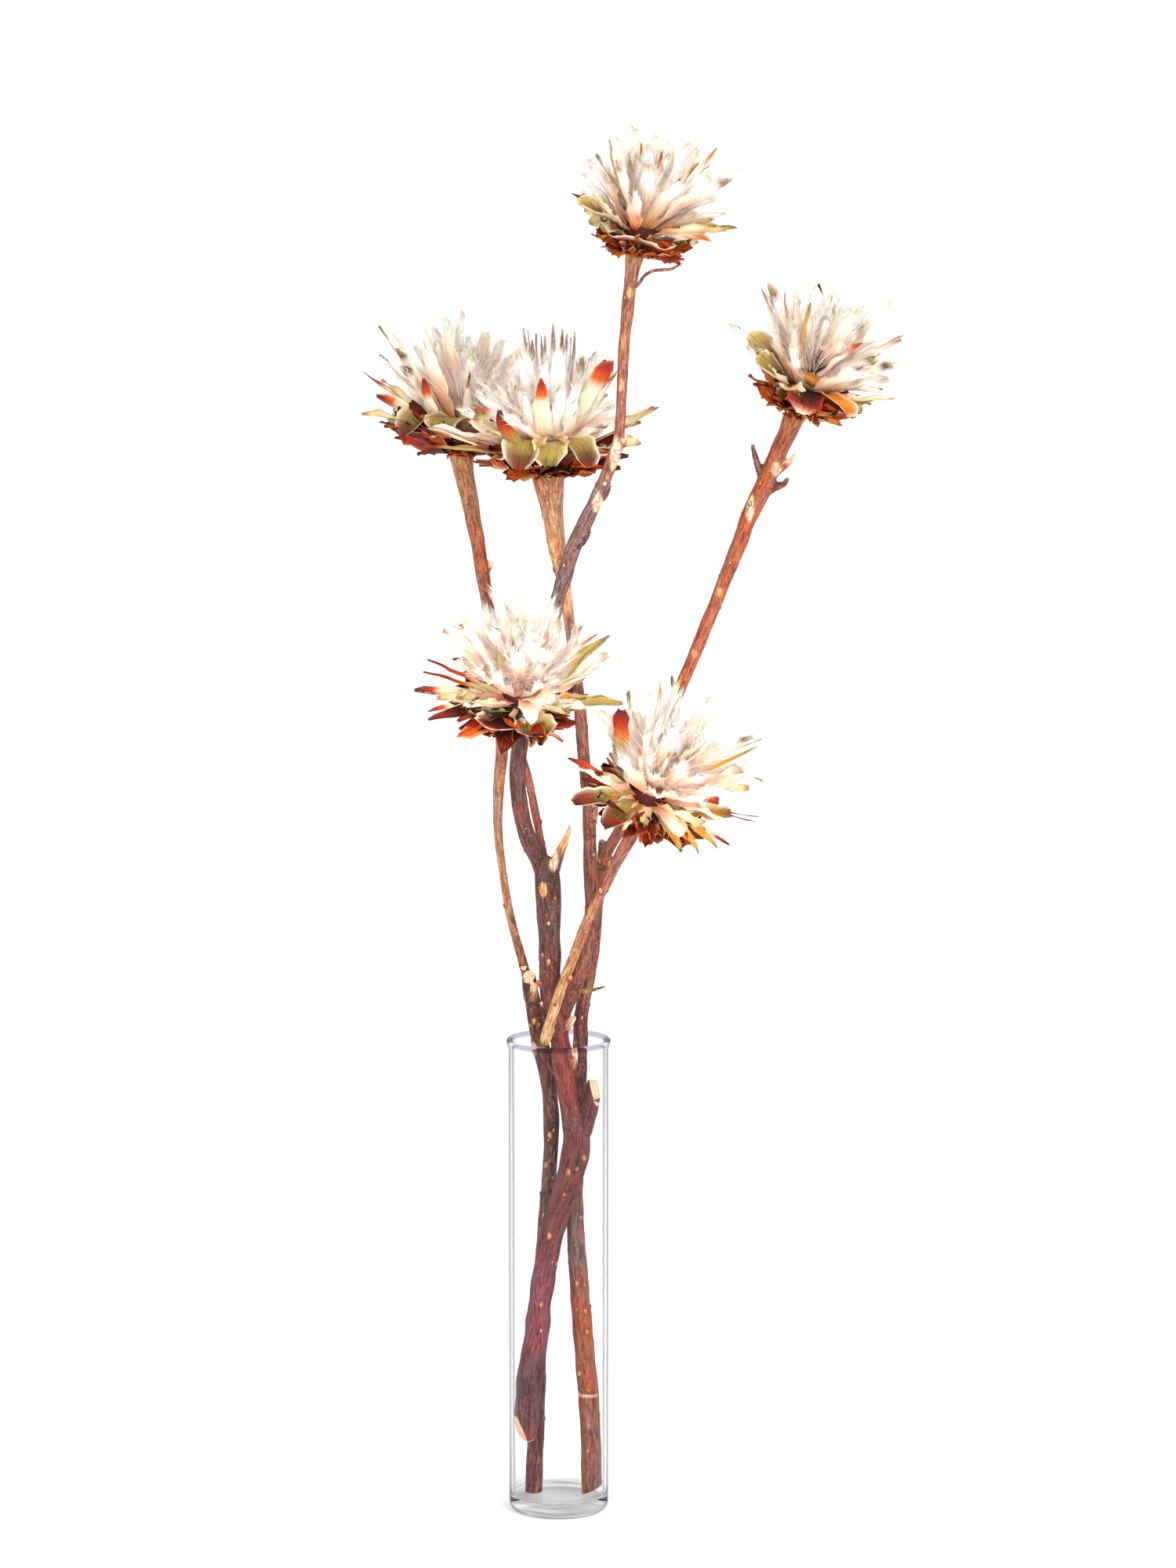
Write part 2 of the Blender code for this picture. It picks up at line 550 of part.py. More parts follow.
def plan_bracts(head, kind):
    """Lay out one kind of bract on a head, row by row, with seeded variety."""
    draw = random.Random(f"{head.seed} {kind.name}")
    bracts = []
    for count, radius, height, start, end, share, width, cup in kind.rows:
        step = 360.0 / count
        offset = draw.uniform(0.0, step)
        for index in range(count):
            azimuth = offset + (index + draw.uniform(-AZIMUTH_VARIETY, AZIMUTH_VARIETY)) * step
            full = getattr(head, kind.reach) * share * reach_share(head, azimuth)
            swing = draw.uniform(-1.0, 1.0)
            bracts.append(
                Bract(
                    azimuth=azimuth,
                    root_radius=radius,
                    root_height=height + draw.uniform(-HEIGHT_VARIETY, HEIGHT_VARIETY),
                    rise_start=start + RISE_VARIETY * swing,
                    rise_end=end + TIP_RISE_VARIETY * swing + draw.uniform(-CURL_VARIETY, CURL_VARIETY),
                    length=(full - radius * math.cos(math.radians(start))) * draw.uniform(*LENGTH_VARIETY),
                    width=width * draw.uniform(*WIDTH_VARIETY),
                    cup=cup * draw.uniform(*CUP_VARIETY),
                    twist=draw.uniform(-TWIST_VARIETY, TWIST_VARIETY),
                )
            )
    return bracts


def between_cones(place, width, kind):
    """Lift or lower a place so that it stays between its kind's two cones."""
    radius = math.hypot(place.x, place.y)
    slope = CONES[kind.over][1]
    sag = slope * width**2 / (8.0 * max(radius, width / 2, 1.0))
    low = lower_edge(kind.under, radius)
    high = upper_edge(kind.over, radius) - sag
    return Vector((place.x, place.y, min(max(place.z, low), high)))


def bract_object(name, bract, kind, collection):
    """Loft one cupped bract with a blunt end as a closed solid in its head's frame."""
    azimuth = math.radians(bract.azimuth)
    outward = Vector((math.cos(azimuth), math.sin(azimuth), 0.0))
    across = Vector((-math.sin(azimuth), math.cos(azimuth), 0.0))
    up = Vector((0.0, 0.0, 1.0))
    place = outward * bract.root_radius + up * bract.root_height
    bm = bmesh.new()
    rings = []
    reached = 0.0
    for along, width_share, cup_share in SECTIONS:
        rise = math.radians(bract.rise_start + (bract.rise_end - bract.rise_start) * along)
        heading = outward * math.cos(rise) + up * math.sin(rise)
        place = place + heading * bract.length * (along - reached)
        reached = along
        turn = math.radians(bract.twist * along)
        normal = up * math.cos(rise) - outward * math.sin(rise)
        side = across * math.cos(turn) + normal * math.sin(turn)
        face = normal * math.cos(turn) - across * math.sin(turn)
        lift = face * bract.cup * cup_share
        half = bract.width * width_share / 2
        edges = [between_cones(place + side * half * way + lift, half, kind) for way in (-1.0, 1.0)]
        if along == 1.0:
            end = [bm.verts.new(edge * MM) for edge in edges]
            break
        thick = face * BRACT_THICKNESS / 2
        lower = between_cones(place - thick, half, kind)
        upper = between_cones(place + thick, half, kind)
        if (upper - lower).length < BRACT_THICKNESS * LEAST_THICKNESS_SHARE:
            lower, upper = refilled(lower, upper, kind)
        rings.append([bm.verts.new(corner * MM) for corner in (edges[0], lower, edges[1], upper)])
    root, belly = rings
    bm.faces.new(root)
    for corner in range(4):
        after = (corner + 1) % 4
        bm.faces.new((root[corner], belly[corner], belly[after], root[after]))
    for middle in (belly[1], belly[3]):
        bm.faces.new((belly[0], end[0], middle))
        bm.faces.new((middle, end[0], end[1]))
        bm.faces.new((middle, end[1], belly[2]))
    bmesh.ops.recalc_face_normals(bm, faces=bm.faces)
    bmesh.ops.triangulate(bm, faces=bm.faces)
    return mesh_object(name, bm, collection)


def refilled(lower, upper, kind):
    """Give a bract its thickness back where a cone has pressed its middle flat."""
    radius = math.hypot(upper.x, upper.y)
    if upper.z + BRACT_THICKNESS <= upper_edge(kind.over, radius):
        return lower, Vector((upper.x, upper.y, lower.z + BRACT_THICKNESS))
    return Vector((lower.x, lower.y, upper.z - BRACT_THICKNESS)), upper


def build_head(head, collection):
    """Build one bloom as a body for each colour of bract, all on a shared empty."""
    seat = bpy.data.objects.new(f"bloom_{head.name}", None)
    seat.location = Vector(head.base) * MM
    seat.rotation_euler = Vector((0.0, 0.0, 1.0)).rotation_difference(head_axis(head)).to_euler()
    collection.objects.link(seat)
    for kind in KINDS:
        name = f"bloom_{head.name}_{kind.name}"
        core = turned_object(name + "_core", kind.core, CORE_SIDES, collection)
        blades = [
            bract_object(f"{name}_blade_{index}", bract, kind, collection)
            for index, bract in enumerate(plan_bracts(head, kind))
        ]
        body = fuse(name, [core] + blades, (), collection, "MANIFOLD")
        body.parent = seat
        body.data.materials.append(new_material(name, kind.colour, 0.75))


def main():
    """Build the vase, the branches and the blooms."""
    clear_scene()
    collection = new_collection(OBJECT_NAME)
    cutters = new_collection("cutters")
    build_vase(collection)
    build_branches(collection, cutters)
    for head in HEADS:
        build_head(head, collection)


main()
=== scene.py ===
"""Dried protea stems in a glass vase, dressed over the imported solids.

Lengths inside the classes are millimetres and angles are degrees, and MM turns the meshes into metres.
A head's own frame has its axis along +Z and its underside's centre at the origin.
"""

import logging
import math
from dataclasses import dataclass, field
from enum import Enum

import bmesh
import bpy
import numpy as np
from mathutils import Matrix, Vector


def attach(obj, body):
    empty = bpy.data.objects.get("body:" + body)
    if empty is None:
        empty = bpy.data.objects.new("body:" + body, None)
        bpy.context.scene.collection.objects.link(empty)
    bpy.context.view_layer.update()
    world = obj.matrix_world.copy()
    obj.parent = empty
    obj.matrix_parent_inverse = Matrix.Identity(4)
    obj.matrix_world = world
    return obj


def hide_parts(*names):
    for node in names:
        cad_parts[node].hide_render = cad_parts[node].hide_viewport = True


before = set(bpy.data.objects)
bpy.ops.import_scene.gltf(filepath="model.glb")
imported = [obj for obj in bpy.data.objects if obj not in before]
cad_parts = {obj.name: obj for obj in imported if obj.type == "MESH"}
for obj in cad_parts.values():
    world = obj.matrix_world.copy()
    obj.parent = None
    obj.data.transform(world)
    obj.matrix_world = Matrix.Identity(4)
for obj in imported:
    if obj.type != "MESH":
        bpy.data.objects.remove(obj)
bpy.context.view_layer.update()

MM = 0.001
BODY = "root"
UP = np.array((0.0, 0.0, 1.0))
FRONT = np.array((0.0, -1.0, 0.0))

log = logging.getLogger("dried_protea")


def tone(code: int) -> np.ndarray:
    """Turn a colour chart code such as 0xA0522D into linear red, green and blue."""
    parts = np.array([(code >> 16) & 255, (code >> 8) & 255, code & 255]) / 255.0
    return np.where(parts <= 0.04045, parts / 12.92, ((parts + 0.055) / 1.055) ** 2.4)


class Hue(Enum):
    """The dry plant's colours, as chart codes."""

    WHITE = 0xFCF2E5
    CREAM = 0xF5E2C2
    BLUSH = 0xF7D0B4
    PEACH = 0xE8A474
    STRAW = 0xD3BC84
    # painted shade on the pale tuft's ribbons
    SILVER_SHADE = 0xCDC3BA
    OLIVE = 0xA58E48
    DARK_OLIVE = 0x695726
    AMBER = 0xD48A26
    ORANGE = 0xC9581A
    RED = 0xA52A14
    RUST = 0x7A2412
    MAROON = 0x48120E
    UMBER = 0x5C3519
    # near black: the scales' own dark roots and edges, and painted shade in the shaded cups' hollows
    BLACK_AND_SHADE = 0x1E0F0A
    BARK_MAROON = 0x6B2A26
    BARK_RED = 0x8E3326
    BARK_PLUM = 0x5A2B38
    BARK_GREY = 0x7C625C
    BARK_DARK = 0x55302A
    BARK_BROWN = 0x87523A
    BARK_ROSE = 0xA0654A
    BARK_PINK = 0x8A3F4E
    BARK_ORANGE = 0xA85426
    BARK_TAN = 0xB4835A
    BARK_STRAW = 0xCDA877
    WOOD = 0xE9D1B3
    LEAF_SCAR = 0xDDA76C

    @property
    def linear(self) -> np.ndarray:
        """The colour as linear red, green and blue."""
        return tone(self.value)

    @property
    def opaque(self) -> tuple:
        """The colour as a shader's socket takes it."""
        return (*self.linear, 1.0)


def unit(vectors: np.ndarray) -> np.ndarray:
    """Scale each vector to length one."""
    return vectors / np.maximum(np.linalg.norm(vectors, axis=-1, keepdims=True), 1e-9)


def along_stops(stops: tuple, shares: np.ndarray) -> np.ndarray:
    """Read a smooth curve through (share, value) stops.

    Args:
        stops: pairs of a share from 0 to 1 and a number, in order.
        shares: where to read it.

    Returns:
        The values there.
    """
    keys = np.array([stop[0] for stop in stops])
    values = np.array([stop[1] for stop in stops], float)
    index = np.clip(np.searchsorted(keys, shares, side="right") - 1, 0, len(keys) - 2)
    part = np.clip((shares - keys[index]) / (keys[index + 1] - keys[index]), 0.0, 1.0)
    eased = part * part * (3.0 - 2.0 * part)
    return values[index] + (values[index + 1] - values[index]) * eased


def hues_along(stops: tuple, shares: np.ndarray) -> np.ndarray:
    """Read colours through (share, hue) stops, with a row of red, green and blue for each share."""
    linear = [(share, hue.linear) for share, hue in stops]
    channels = [along_stops(tuple((share, colour[i]) for share, colour in linear), shares) for i in range(3)]
    return np.stack(channels, axis=-1)


class Weave:
    """Collects closed shells with their colours, and makes one mesh of them."""

    def __init__(self) -> None:
        """Start with no shells."""
        self.points: list[np.ndarray] = []
        self.faces: list[np.ndarray] = []
        self.tints: list[np.ndarray] = []
        self.grains: list[np.ndarray] = []
        self.count = 0

    def add(self, points: np.ndarray, faces: np.ndarray, tints: np.ndarray, grains: np.ndarray) -> None:
        """Add one closed shell.

        Args:
            points: its corners, in millimetres.
            faces: its triangles, as rows of three corner numbers.
            tints: a linear colour for each corner.
            grains: a place in the grain for each corner, across, along and a number of its own.
        """
        self.points.append(points)
        self.faces.append(faces + self.count)
        self.tints.append(np.broadcast_to(tints, (len(points), 3)))
        self.grains.append(np.broadcast_to(grains, (len(points), 3)))
        self.count += len(points)

    def mesh(self, name: str, sharp_from: float) -> bpy.types.Mesh:
        """Make the mesh, smooth apart from edges sharper than an angle.

        Args:
            name: the mesh's name.
            sharp_from: the angle between faces from which their edge stays sharp.

        Returns:
            The mesh, in metres, with its tint and grain attributes.
        """
        points = np.concatenate(self.points) * MM
        faces = np.concatenate(self.faces)
        mesh = bpy.data.meshes.new(name)
        mesh.vertices.add(len(points))
        mesh.vertices.foreach_set("co", points.astype(np.float32).ravel())
        mesh.loops.add(faces.size)
        mesh.loops.foreach_set("vertex_index", faces.astype(np.int32).ravel())
        mesh.polygons.add(len(faces))
        mesh.polygons.foreach_set("loop_start", np.arange(0, faces.size, 3, dtype=np.int32))
        mesh.update(calc_edges=True)
        mesh.validate()
        paint_mesh(mesh, np.concatenate(self.tints), np.concatenate(self.grains))
        mesh.shade_smooth()
        mesh.set_sharp_from_angle(angle=math.radians(sharp_from))
        return mesh


def paint_mesh(mesh: bpy.types.Mesh, tints: np.ndarray, grains: np.ndarray) -> None:
    """Store a tint and a place in the grain on each corner of a mesh.

    Args:
        mesh: the mesh.
        tints: a linear colour for each corner.
        grains: a place in the grain for each corner.
    """
    colours = np.ones((len(tints), 4), np.float32)
    colours[:, :3] = np.clip(tints, 0.0, 1.0)
    tint = mesh.attributes.new("tint", "FLOAT_COLOR", "POINT")
    tint.data.foreach_set("color", colours.ravel())
    grain = mesh.attributes.new("grain", "FLOAT_VECTOR", "POINT")
    grain.data.foreach_set("vector", grains.astype(np.float32).ravel())


def place_piece(name: str, mesh: bpy.types.Mesh, node: str) -> bpy.types.Object:
    """Put a mesh in the scene as the piece that stands for a solid.

    Args:
        name: the piece's name.
        mesh: its mesh, in the shared frame.
        node: the solid that it stands for.

    Returns:
        The new object.
    """
    piece = bpy.data.objects.new(name, mesh)
    bpy.context.scene.collection.objects.link(piece)
    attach(piece, BODY)
    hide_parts(node)
    return piece


class Recipe:
    """Builds one material's node tree by short calls."""

    def __init__(self, name: str) -> None:
        """Start a material with its Principled BSDF."""
        self.material = bpy.data.materials.new(name)
        self.material.use_nodes = True
        self.tree = self.material.node_tree
        self.shader = self.tree.nodes["Principled BSDF"]

    def add(self, kind: str, inputs: dict, **settings: object) -> bpy.types.Node:
        """Add a node.

        Args:
            kind: the node's type.
            inputs: values or sockets for its inputs, by name or number.
            settings: properties of the node.

        Returns:
            The node.
        """
        node = self.tree.nodes.new(kind)
        for key, value in settings.items():
            setattr(node, key, value)
        for key, value in inputs.items():
            self.feed(node, key, value)
        return node

    def feed(self, node: bpy.types.Node, key: object, value: object) -> None:
        """Link a socket to a node's input, or set the input's own value."""
        if isinstance(value, bpy.types.NodeSocket):
            self.tree.links.new(value, node.inputs[key])
        else:
            node.inputs[key].default_value = value

    def attribute(self, name: str, output: str) -> bpy.types.NodeSocket:
        """Read an attribute of the mesh."""
        return self.add("ShaderNodeAttribute", {}, attribute_name=name).outputs[output]

    def stretched(self, source: bpy.types.NodeSocket, scale: tuple) -> bpy.types.NodeSocket:
        """Scale texture coordinates by three numbers."""
        return self.add("ShaderNodeMapping", {"Vector": source, "Scale": scale}).outputs["Vector"]

    def noise(
        self, source: bpy.types.NodeSocket, grain: tuple, detail: float, scale: float = 1.0,
    ) -> bpy.types.NodeSocket:
        """Read a noise texture at the coordinates, stretched by the grain's three numbers."""
        place = self.stretched(source, grain)
        settings = {"Vector": place, "Scale": scale, "Detail": detail, "Roughness": 0.6}
        return self.add("ShaderNodeTexNoise", settings).outputs["Fac"]

    def between(
        self, source: bpy.types.NodeSocket, low: float, high: float, out: tuple = (0.0, 1.0),
    ) -> bpy.types.NodeSocket:
        """Map a range of values to another, held at its ends."""
        inputs = {"Value": source, "From Min": low, "From Max": high, "To Min": out[0], "To Max": out[1]}
        return self.add("ShaderNodeMapRange", inputs, clamp=True).outputs["Result"]

    def mixed(self, blend: str, share: object, first: object, second: object) -> bpy.types.NodeSocket:
        """Mix two colours by a named blend.

        Args:
            blend: the blend's name.
            share: how far it goes, as a number or a socket.
            first: the colour under it.
            second: the colour over it.

        Returns:
            The mixed colour.
        """
        node = self.add("ShaderNodeMix", {}, data_type="RGBA", blend_type=blend)
        for key, value in ((0, share), (6, first), (7, second)):
            self.feed(node, key, value)
        return node.outputs[2]

    def times(self, first: bpy.types.NodeSocket, second: bpy.types.NodeSocket) -> bpy.types.NodeSocket:
        """Multiply two values."""
        return self.add("ShaderNodeMath", {0: first, 1: second}, operation="MULTIPLY").outputs["Value"]

    def relief(self, height: bpy.types.NodeSocket, strength: float, distance: float) -> None:
        """Raise the surface by a bump of the given height, its distance in millimetres."""
        inputs = {"Height": height, "Strength": strength, "Distance": distance * MM}
        bump = self.add("ShaderNodeBump", inputs)
        self.feed(self.shader, "Normal", bump.outputs["Normal"])

    def finish(self, **inputs: object) -> bpy.types.Material:
        """Feed the shader's inputs by name, with _ for spaces, and return the material."""
        for key, value in inputs.items():
            self.feed(self.shader, key.replace("_", " "), value)
        return self.material


@dataclass(frozen=True)
class LeafFinish:
    """A dry, veined, papery surface over the tints that the bracts carry.

    A grain is a noise's cells for each millimetre across and along, and for each bract.
    """

    name: str
    veins: float  # how far the veins deepen the tint
    vein_spacing: float  # veins for each millimetre across
    blotches: float  # share of brown blotches
    roughness: float
    sheen: float
    relief: float  # depth of the veins in millimetres
    glow: float = 0.0  # share of light that passes through the thin tissue
    streak: tuple = (1.0, 1.0, 1.0, 1.0)  # how the veins colour the tint
    vein_run: float = 0.07  # vein cells for each millimetre along
    fibre_run: float = 0.25  # fibre cells for each millimetre along
    cloud_grain: tuple = (0.35, 0.16, 1.0)
    vein_depth: float = 2.4  # gamma that deepens the tint in the veins
    scatter: tuple = (1.0, 0.62, 0.4)  # how far red, green and blue light passes
    scatter_depth: float = 2.2  # millimetres

    def material(self) -> bpy.types.Material:
        """Build the material."""
        recipe = Recipe(self.name)
        tint = recipe.attribute("tint", "Color")
        grain = recipe.attribute("grain", "Vector")
        deep = recipe.add("ShaderNodeGamma", {"Color": tint, "Gamma": self.vein_depth}).outputs["Color"]
        deep = recipe.mixed("MULTIPLY", 1.0, deep, self.streak)
        vein_grain = (self.vein_spacing, self.vein_run, 1.0)
        fibre_grain = (self.vein_spacing * 3.0, self.fibre_run, 1.0)
        lines = recipe.noise(grain, vein_grain, 3.0)
        fibres = recipe.noise(grain, fibre_grain, 2.0)
        clouds = recipe.noise(grain, self.cloud_grain, 3.0)
        vein = recipe.between(lines, 0.5, 0.66, (0.0, self.veins))
        veined = recipe.mixed("MIX", vein, tint, deep)
        fine = recipe.between(fibres, 0.3, 0.7, (1.0 - self.veins * 0.35, 1.0 + self.veins * 0.15))
        veined = recipe.mixed("MULTIPLY", 1.0, veined, fine)
        blotch = recipe.between(clouds, 0.58, 0.72, (0.0, self.blotches))
        colour = recipe.mixed("MIX", blotch, veined, deep)
        recipe.relief(lines, 0.6, self.relief)
        rough = recipe.between(clouds, 0.3, 0.7, (self.roughness - 0.08, self.roughness + 0.08))
        return recipe.finish(
            Base_Color=colour, Roughness=rough, Specular_IOR_Level=0.2,
            Sheen_Weight=self.sheen, Sheen_Roughness=0.4, Subsurface_Weight=self.glow,
            Subsurface_Radius=self.scatter, Subsurface_Scale=self.scatter_depth * MM,
        )


@dataclass(frozen=True)
class BarkFinish:
    """Dry bark with long streaks, grey bloom, warm flakes and pale breathing pores.

    A grain is a noise's cells for each millimetre in the two ways across a limb, and along it.
    """

    name: str
    grey: float  # share of grey weathering
    warm: float  # share of flakes that show warm inner bark
    warm_hue: Hue
    pores: float  # share of pale pores
    relief: float = 0.5  # depth of the streaks in millimetres
    streak_grain: tuple = (0.9, 0.9, 0.14)
    fibre_grain: tuple = (2.2, 2.2, 0.55)
    patch_grain: tuple = (0.2, 0.2, 0.045)
    flake_grain: tuple = (0.45, 0.45, 0.1)
    pore_grain: tuple = (0.9, 0.9, 0.7)
    streak_depth: float = 2.1  # gamma that deepens the tint in the streaks
    bloom: tuple = (0.42, 0.27, 0.24, 1.0)

    def material(self) -> bpy.types.Material:
        """Build the material."""
        recipe = Recipe(self.name)
        tint = recipe.attribute("tint", "Color")
        grain = recipe.attribute("grain", "Vector")
        deep = recipe.add("ShaderNodeGamma", {"Color": tint, "Gamma": self.streak_depth}).outputs["Color"]
        streaks = recipe.noise(grain, self.streak_grain, 5.0)
        fibres = recipe.noise(grain, self.fibre_grain, 3.0)
        patches = recipe.noise(grain, self.patch_grain, 5.0)
        flakes = recipe.noise(grain, self.flake_grain, 5.0, 1.7)
        specks = recipe.noise(grain, self.pore_grain, 1.0)
        dark = recipe.between(streaks, 0.57, 0.43, (0.0, 0.9))
        colour = recipe.mixed("MIX", dark, tint, deep)
        flake = recipe.between(flakes, 0.52, 0.64, (0.0, self.warm))
        colour = recipe.mixed("MIX", flake, colour, self.warm_hue.opaque)
        weather = recipe.between(patches, 0.48, 0.62, (0.0, self.grey))
        colour = recipe.mixed("MIX", weather, colour, Hue.BARK_GREY.opaque)
        bloom = recipe.between(fibres, 0.55, 0.75, (0.0, 0.22))
        colour = recipe.mixed("MIX", bloom, colour, self.bloom)
        fine = recipe.between(fibres, 0.52, 0.3, (1.0, 0.35))
        colour = recipe.mixed("MULTIPLY", 1.0, colour, fine)
        pore = recipe.between(specks, 0.73, 0.78, (0.0, self.pores))
        colour = recipe.mixed("MIX", pore, colour, Hue.LEAF_SCAR.opaque)
        height = recipe.mixed("ADD", 0.5, streaks, fibres)
        recipe.relief(height, 1.0, self.relief)
        rough = recipe.between(streaks, 0.3, 0.7, (0.55, 0.85))
        return recipe.finish(Base_Color=colour, Roughness=rough, Specular_IOR_Level=0.35)


@dataclass(frozen=True)
class CutWoodFinish:
    """Pale sawn or torn wood with growth rings."""

    name: str
    ring_grain: tuple = (0.7, 0.7, 0.2)
    pore_grain: tuple = (2.4, 2.4, 0.8)
    pore_depth: float = 0.2  # millimetres

    def material(self) -> bpy.types.Material:
        """Build the material."""
        recipe = Recipe(self.name)
        grain = recipe.attribute("grain", "Vector")
        rings = recipe.noise(grain, self.ring_grain, 4.0)
        pores = recipe.noise(grain, self.pore_grain, 2.0)
        shade = recipe.between(rings, 0.35, 0.65)
        colour = recipe.mixed("MIX", shade, Hue.LEAF_SCAR.opaque, Hue.WOOD.opaque)
        fine = recipe.between(pores, 0.3, 0.7, (0.75, 1.1))
        colour = recipe.mixed("MULTIPLY", 1.0, colour, fine)
        recipe.relief(pores, 0.7, self.pore_depth)
        rough = recipe.between(rings, 0.3, 0.7, (0.6, 0.8))
        return recipe.finish(Base_Color=colour, Roughness=rough, Specular_IOR_Level=0.3)


@dataclass(frozen=True)
class GlassFinish:
    """Clear glass that mirrors little of the white studio, with painted shade where seen edge on, at the lip
    and in the thick base.
    """

    name: str
    base_height: float = 7.0
    base_fade: float = 6.0  # height over which the base's painted shade bands fade out
    base_rim: tuple = (23.0, 25.6)  # radii between which the painted shade bands set in
    wall_rim: tuple = (21.0, 23.6)  # radii between which the painted edge shade sets in
    edge_facing: tuple = (0.56, 0.8)  # from nearly edge on to edge on
    lip_height: float = 246.6
    lip_fade: float = 1.2
    wave_grain: tuple = (60.0, 60.0, 14.0)
    band_grain: tuple = (25.0, 25.0, 420.0)
    clear: tuple = (1.0, 1.0, 1.0, 1.0)
    # painted shade: the walls' dark where they are seen edge on
    painted_edge_shade: tuple = (0.03, 0.03, 0.04, 1.0)
    # painted shade: the grey line round the lip
    painted_lip_shade: tuple = (0.48, 0.46, 0.56, 1.0)
    # painted shade: grey bands in the thick base
    painted_base_shade: tuple = (0.26, 0.27, 0.29, 1.0)

    def material(self) -> bpy.types.Material:
        """Build the material."""
        recipe = Recipe(self.name)
        place = recipe.add("ShaderNodeTexCoord", {}).outputs["Object"]
        waves = recipe.noise(place, self.wave_grain, 2.0)
        recipe.relief(waves, 0.2, 0.1)
        facing = recipe.add("ShaderNodeLayerWeight", {"Blend": 0.5}).outputs["Facing"]
        height = recipe.add("ShaderNodeSeparateXYZ", {"Vector": place}).outputs["Z"]
        # Painted shade in the thick base, laid in grey bands
        base_top = self.base_height + self.base_fade
        low = recipe.between(height, self.base_height * MM, base_top * MM, (1.0, 0.0))
        flat = {0: recipe.stretched(place, (1.0, 1.0, 0.0))}
        radius = recipe.add("ShaderNodeVectorMath", flat, operation="LENGTH").outputs["Value"]
        low = recipe.times(low, recipe.between(radius, self.base_rim[0] * MM, self.base_rim[1] * MM))
        # Painted shade: the walls turn dark where they are seen edge on
        edge = recipe.between(facing, *self.edge_facing)
        edge = recipe.times(edge, recipe.between(radius, self.wall_rim[0] * MM, self.wall_rim[1] * MM))
        # Painted shade: a grey band round the lip
        lip = recipe.between(height, self.lip_height * MM, (self.lip_height + self.lip_fade) * MM)
        bands = recipe.noise(place, self.band_grain, 2.0)
        band = recipe.between(bands, 0.35, 0.65)
        base = recipe.mixed("MIX", band, self.painted_base_shade, self.clear)
        colour = recipe.mixed("MIX", low, self.clear, base)
        colour = recipe.mixed("MIX", lip, colour, self.painted_lip_shade)
        colour = recipe.mixed("MIX", edge, colour, self.painted_edge_shade)
        return recipe.finish(Base_Color=colour, Transmission_Weight=1.0, IOR=1.14, Roughness=0.0)


@dataclass(frozen=True)
class FloorFinish:
    """Pale matt paper."""

    name: str
    white: tuple = (0.95, 0.95, 0.95, 1.0)
    fibre_scale: float = 900.0

    def material(self) -> bpy.types.Material:
        """Build the material."""
        recipe = Recipe(self.name)
        place = recipe.add("ShaderNodeTexCoord", {}).outputs["Object"]
        fibre = recipe.noise(place, (1.0, 1.0, 1.0), 2.0, self.fibre_scale)
        shade = recipe.between(fibre, 0.3, 0.7, (0.985, 1.0))
        colour = recipe.mixed("MULTIPLY", 1.0, self.white, shade)
        return recipe.finish(Base_Color=colour, Roughness=0.9, Specular_IOR_Level=0.1)


@dataclass(frozen=True)
class Lamp:
    """One soft lamp: a disc, or a spot if it has a cone angle."""

    name: str
    place: tuple
    size: float
    power: float  # watts
    aim: tuple = (0.0, 0.0, 400.0)
    cone: float = 0.0

    def build(self) -> None:
        """Hang the lamp and turn it to its aim."""
        data = bpy.data.lights.new(self.name, "SPOT" if self.cone else "AREA")
        data.energy = self.power
        if self.cone:
            data.spot_size = math.radians(self.cone)
            data.spot_blend = 1.0
            data.shadow_soft_size = self.size * MM
        else:
            data.shape = "DISK"
            data.size = self.size * MM
        lamp = bpy.data.objects.new(self.name, data)
        lamp.location = Vector(self.place) * MM
        aim = Vector(self.aim) * MM - lamp.location
        lamp.rotation_euler = aim.to_track_quat("-Z", "Y").to_euler()
        bpy.context.scene.collection.objects.link(lamp)


# The spot lifts the two low heads, which the others shade
LAMPS = (
    Lamp("key", (1000.0, -1400.0, 1500.0), 700.0, 24.0),
    Lamp("fill", (-1500.0, -1100.0, 900.0), 1200.0, 8.0),
    Lamp("front", (200.0, -2300.0, 250.0), 1600.0, 34.0),
    Lamp("low_heads", (120.0, -1900.0, 520.0), 60.0, 120.0, (10.0, -40.0, 422.0), 10.0),
)


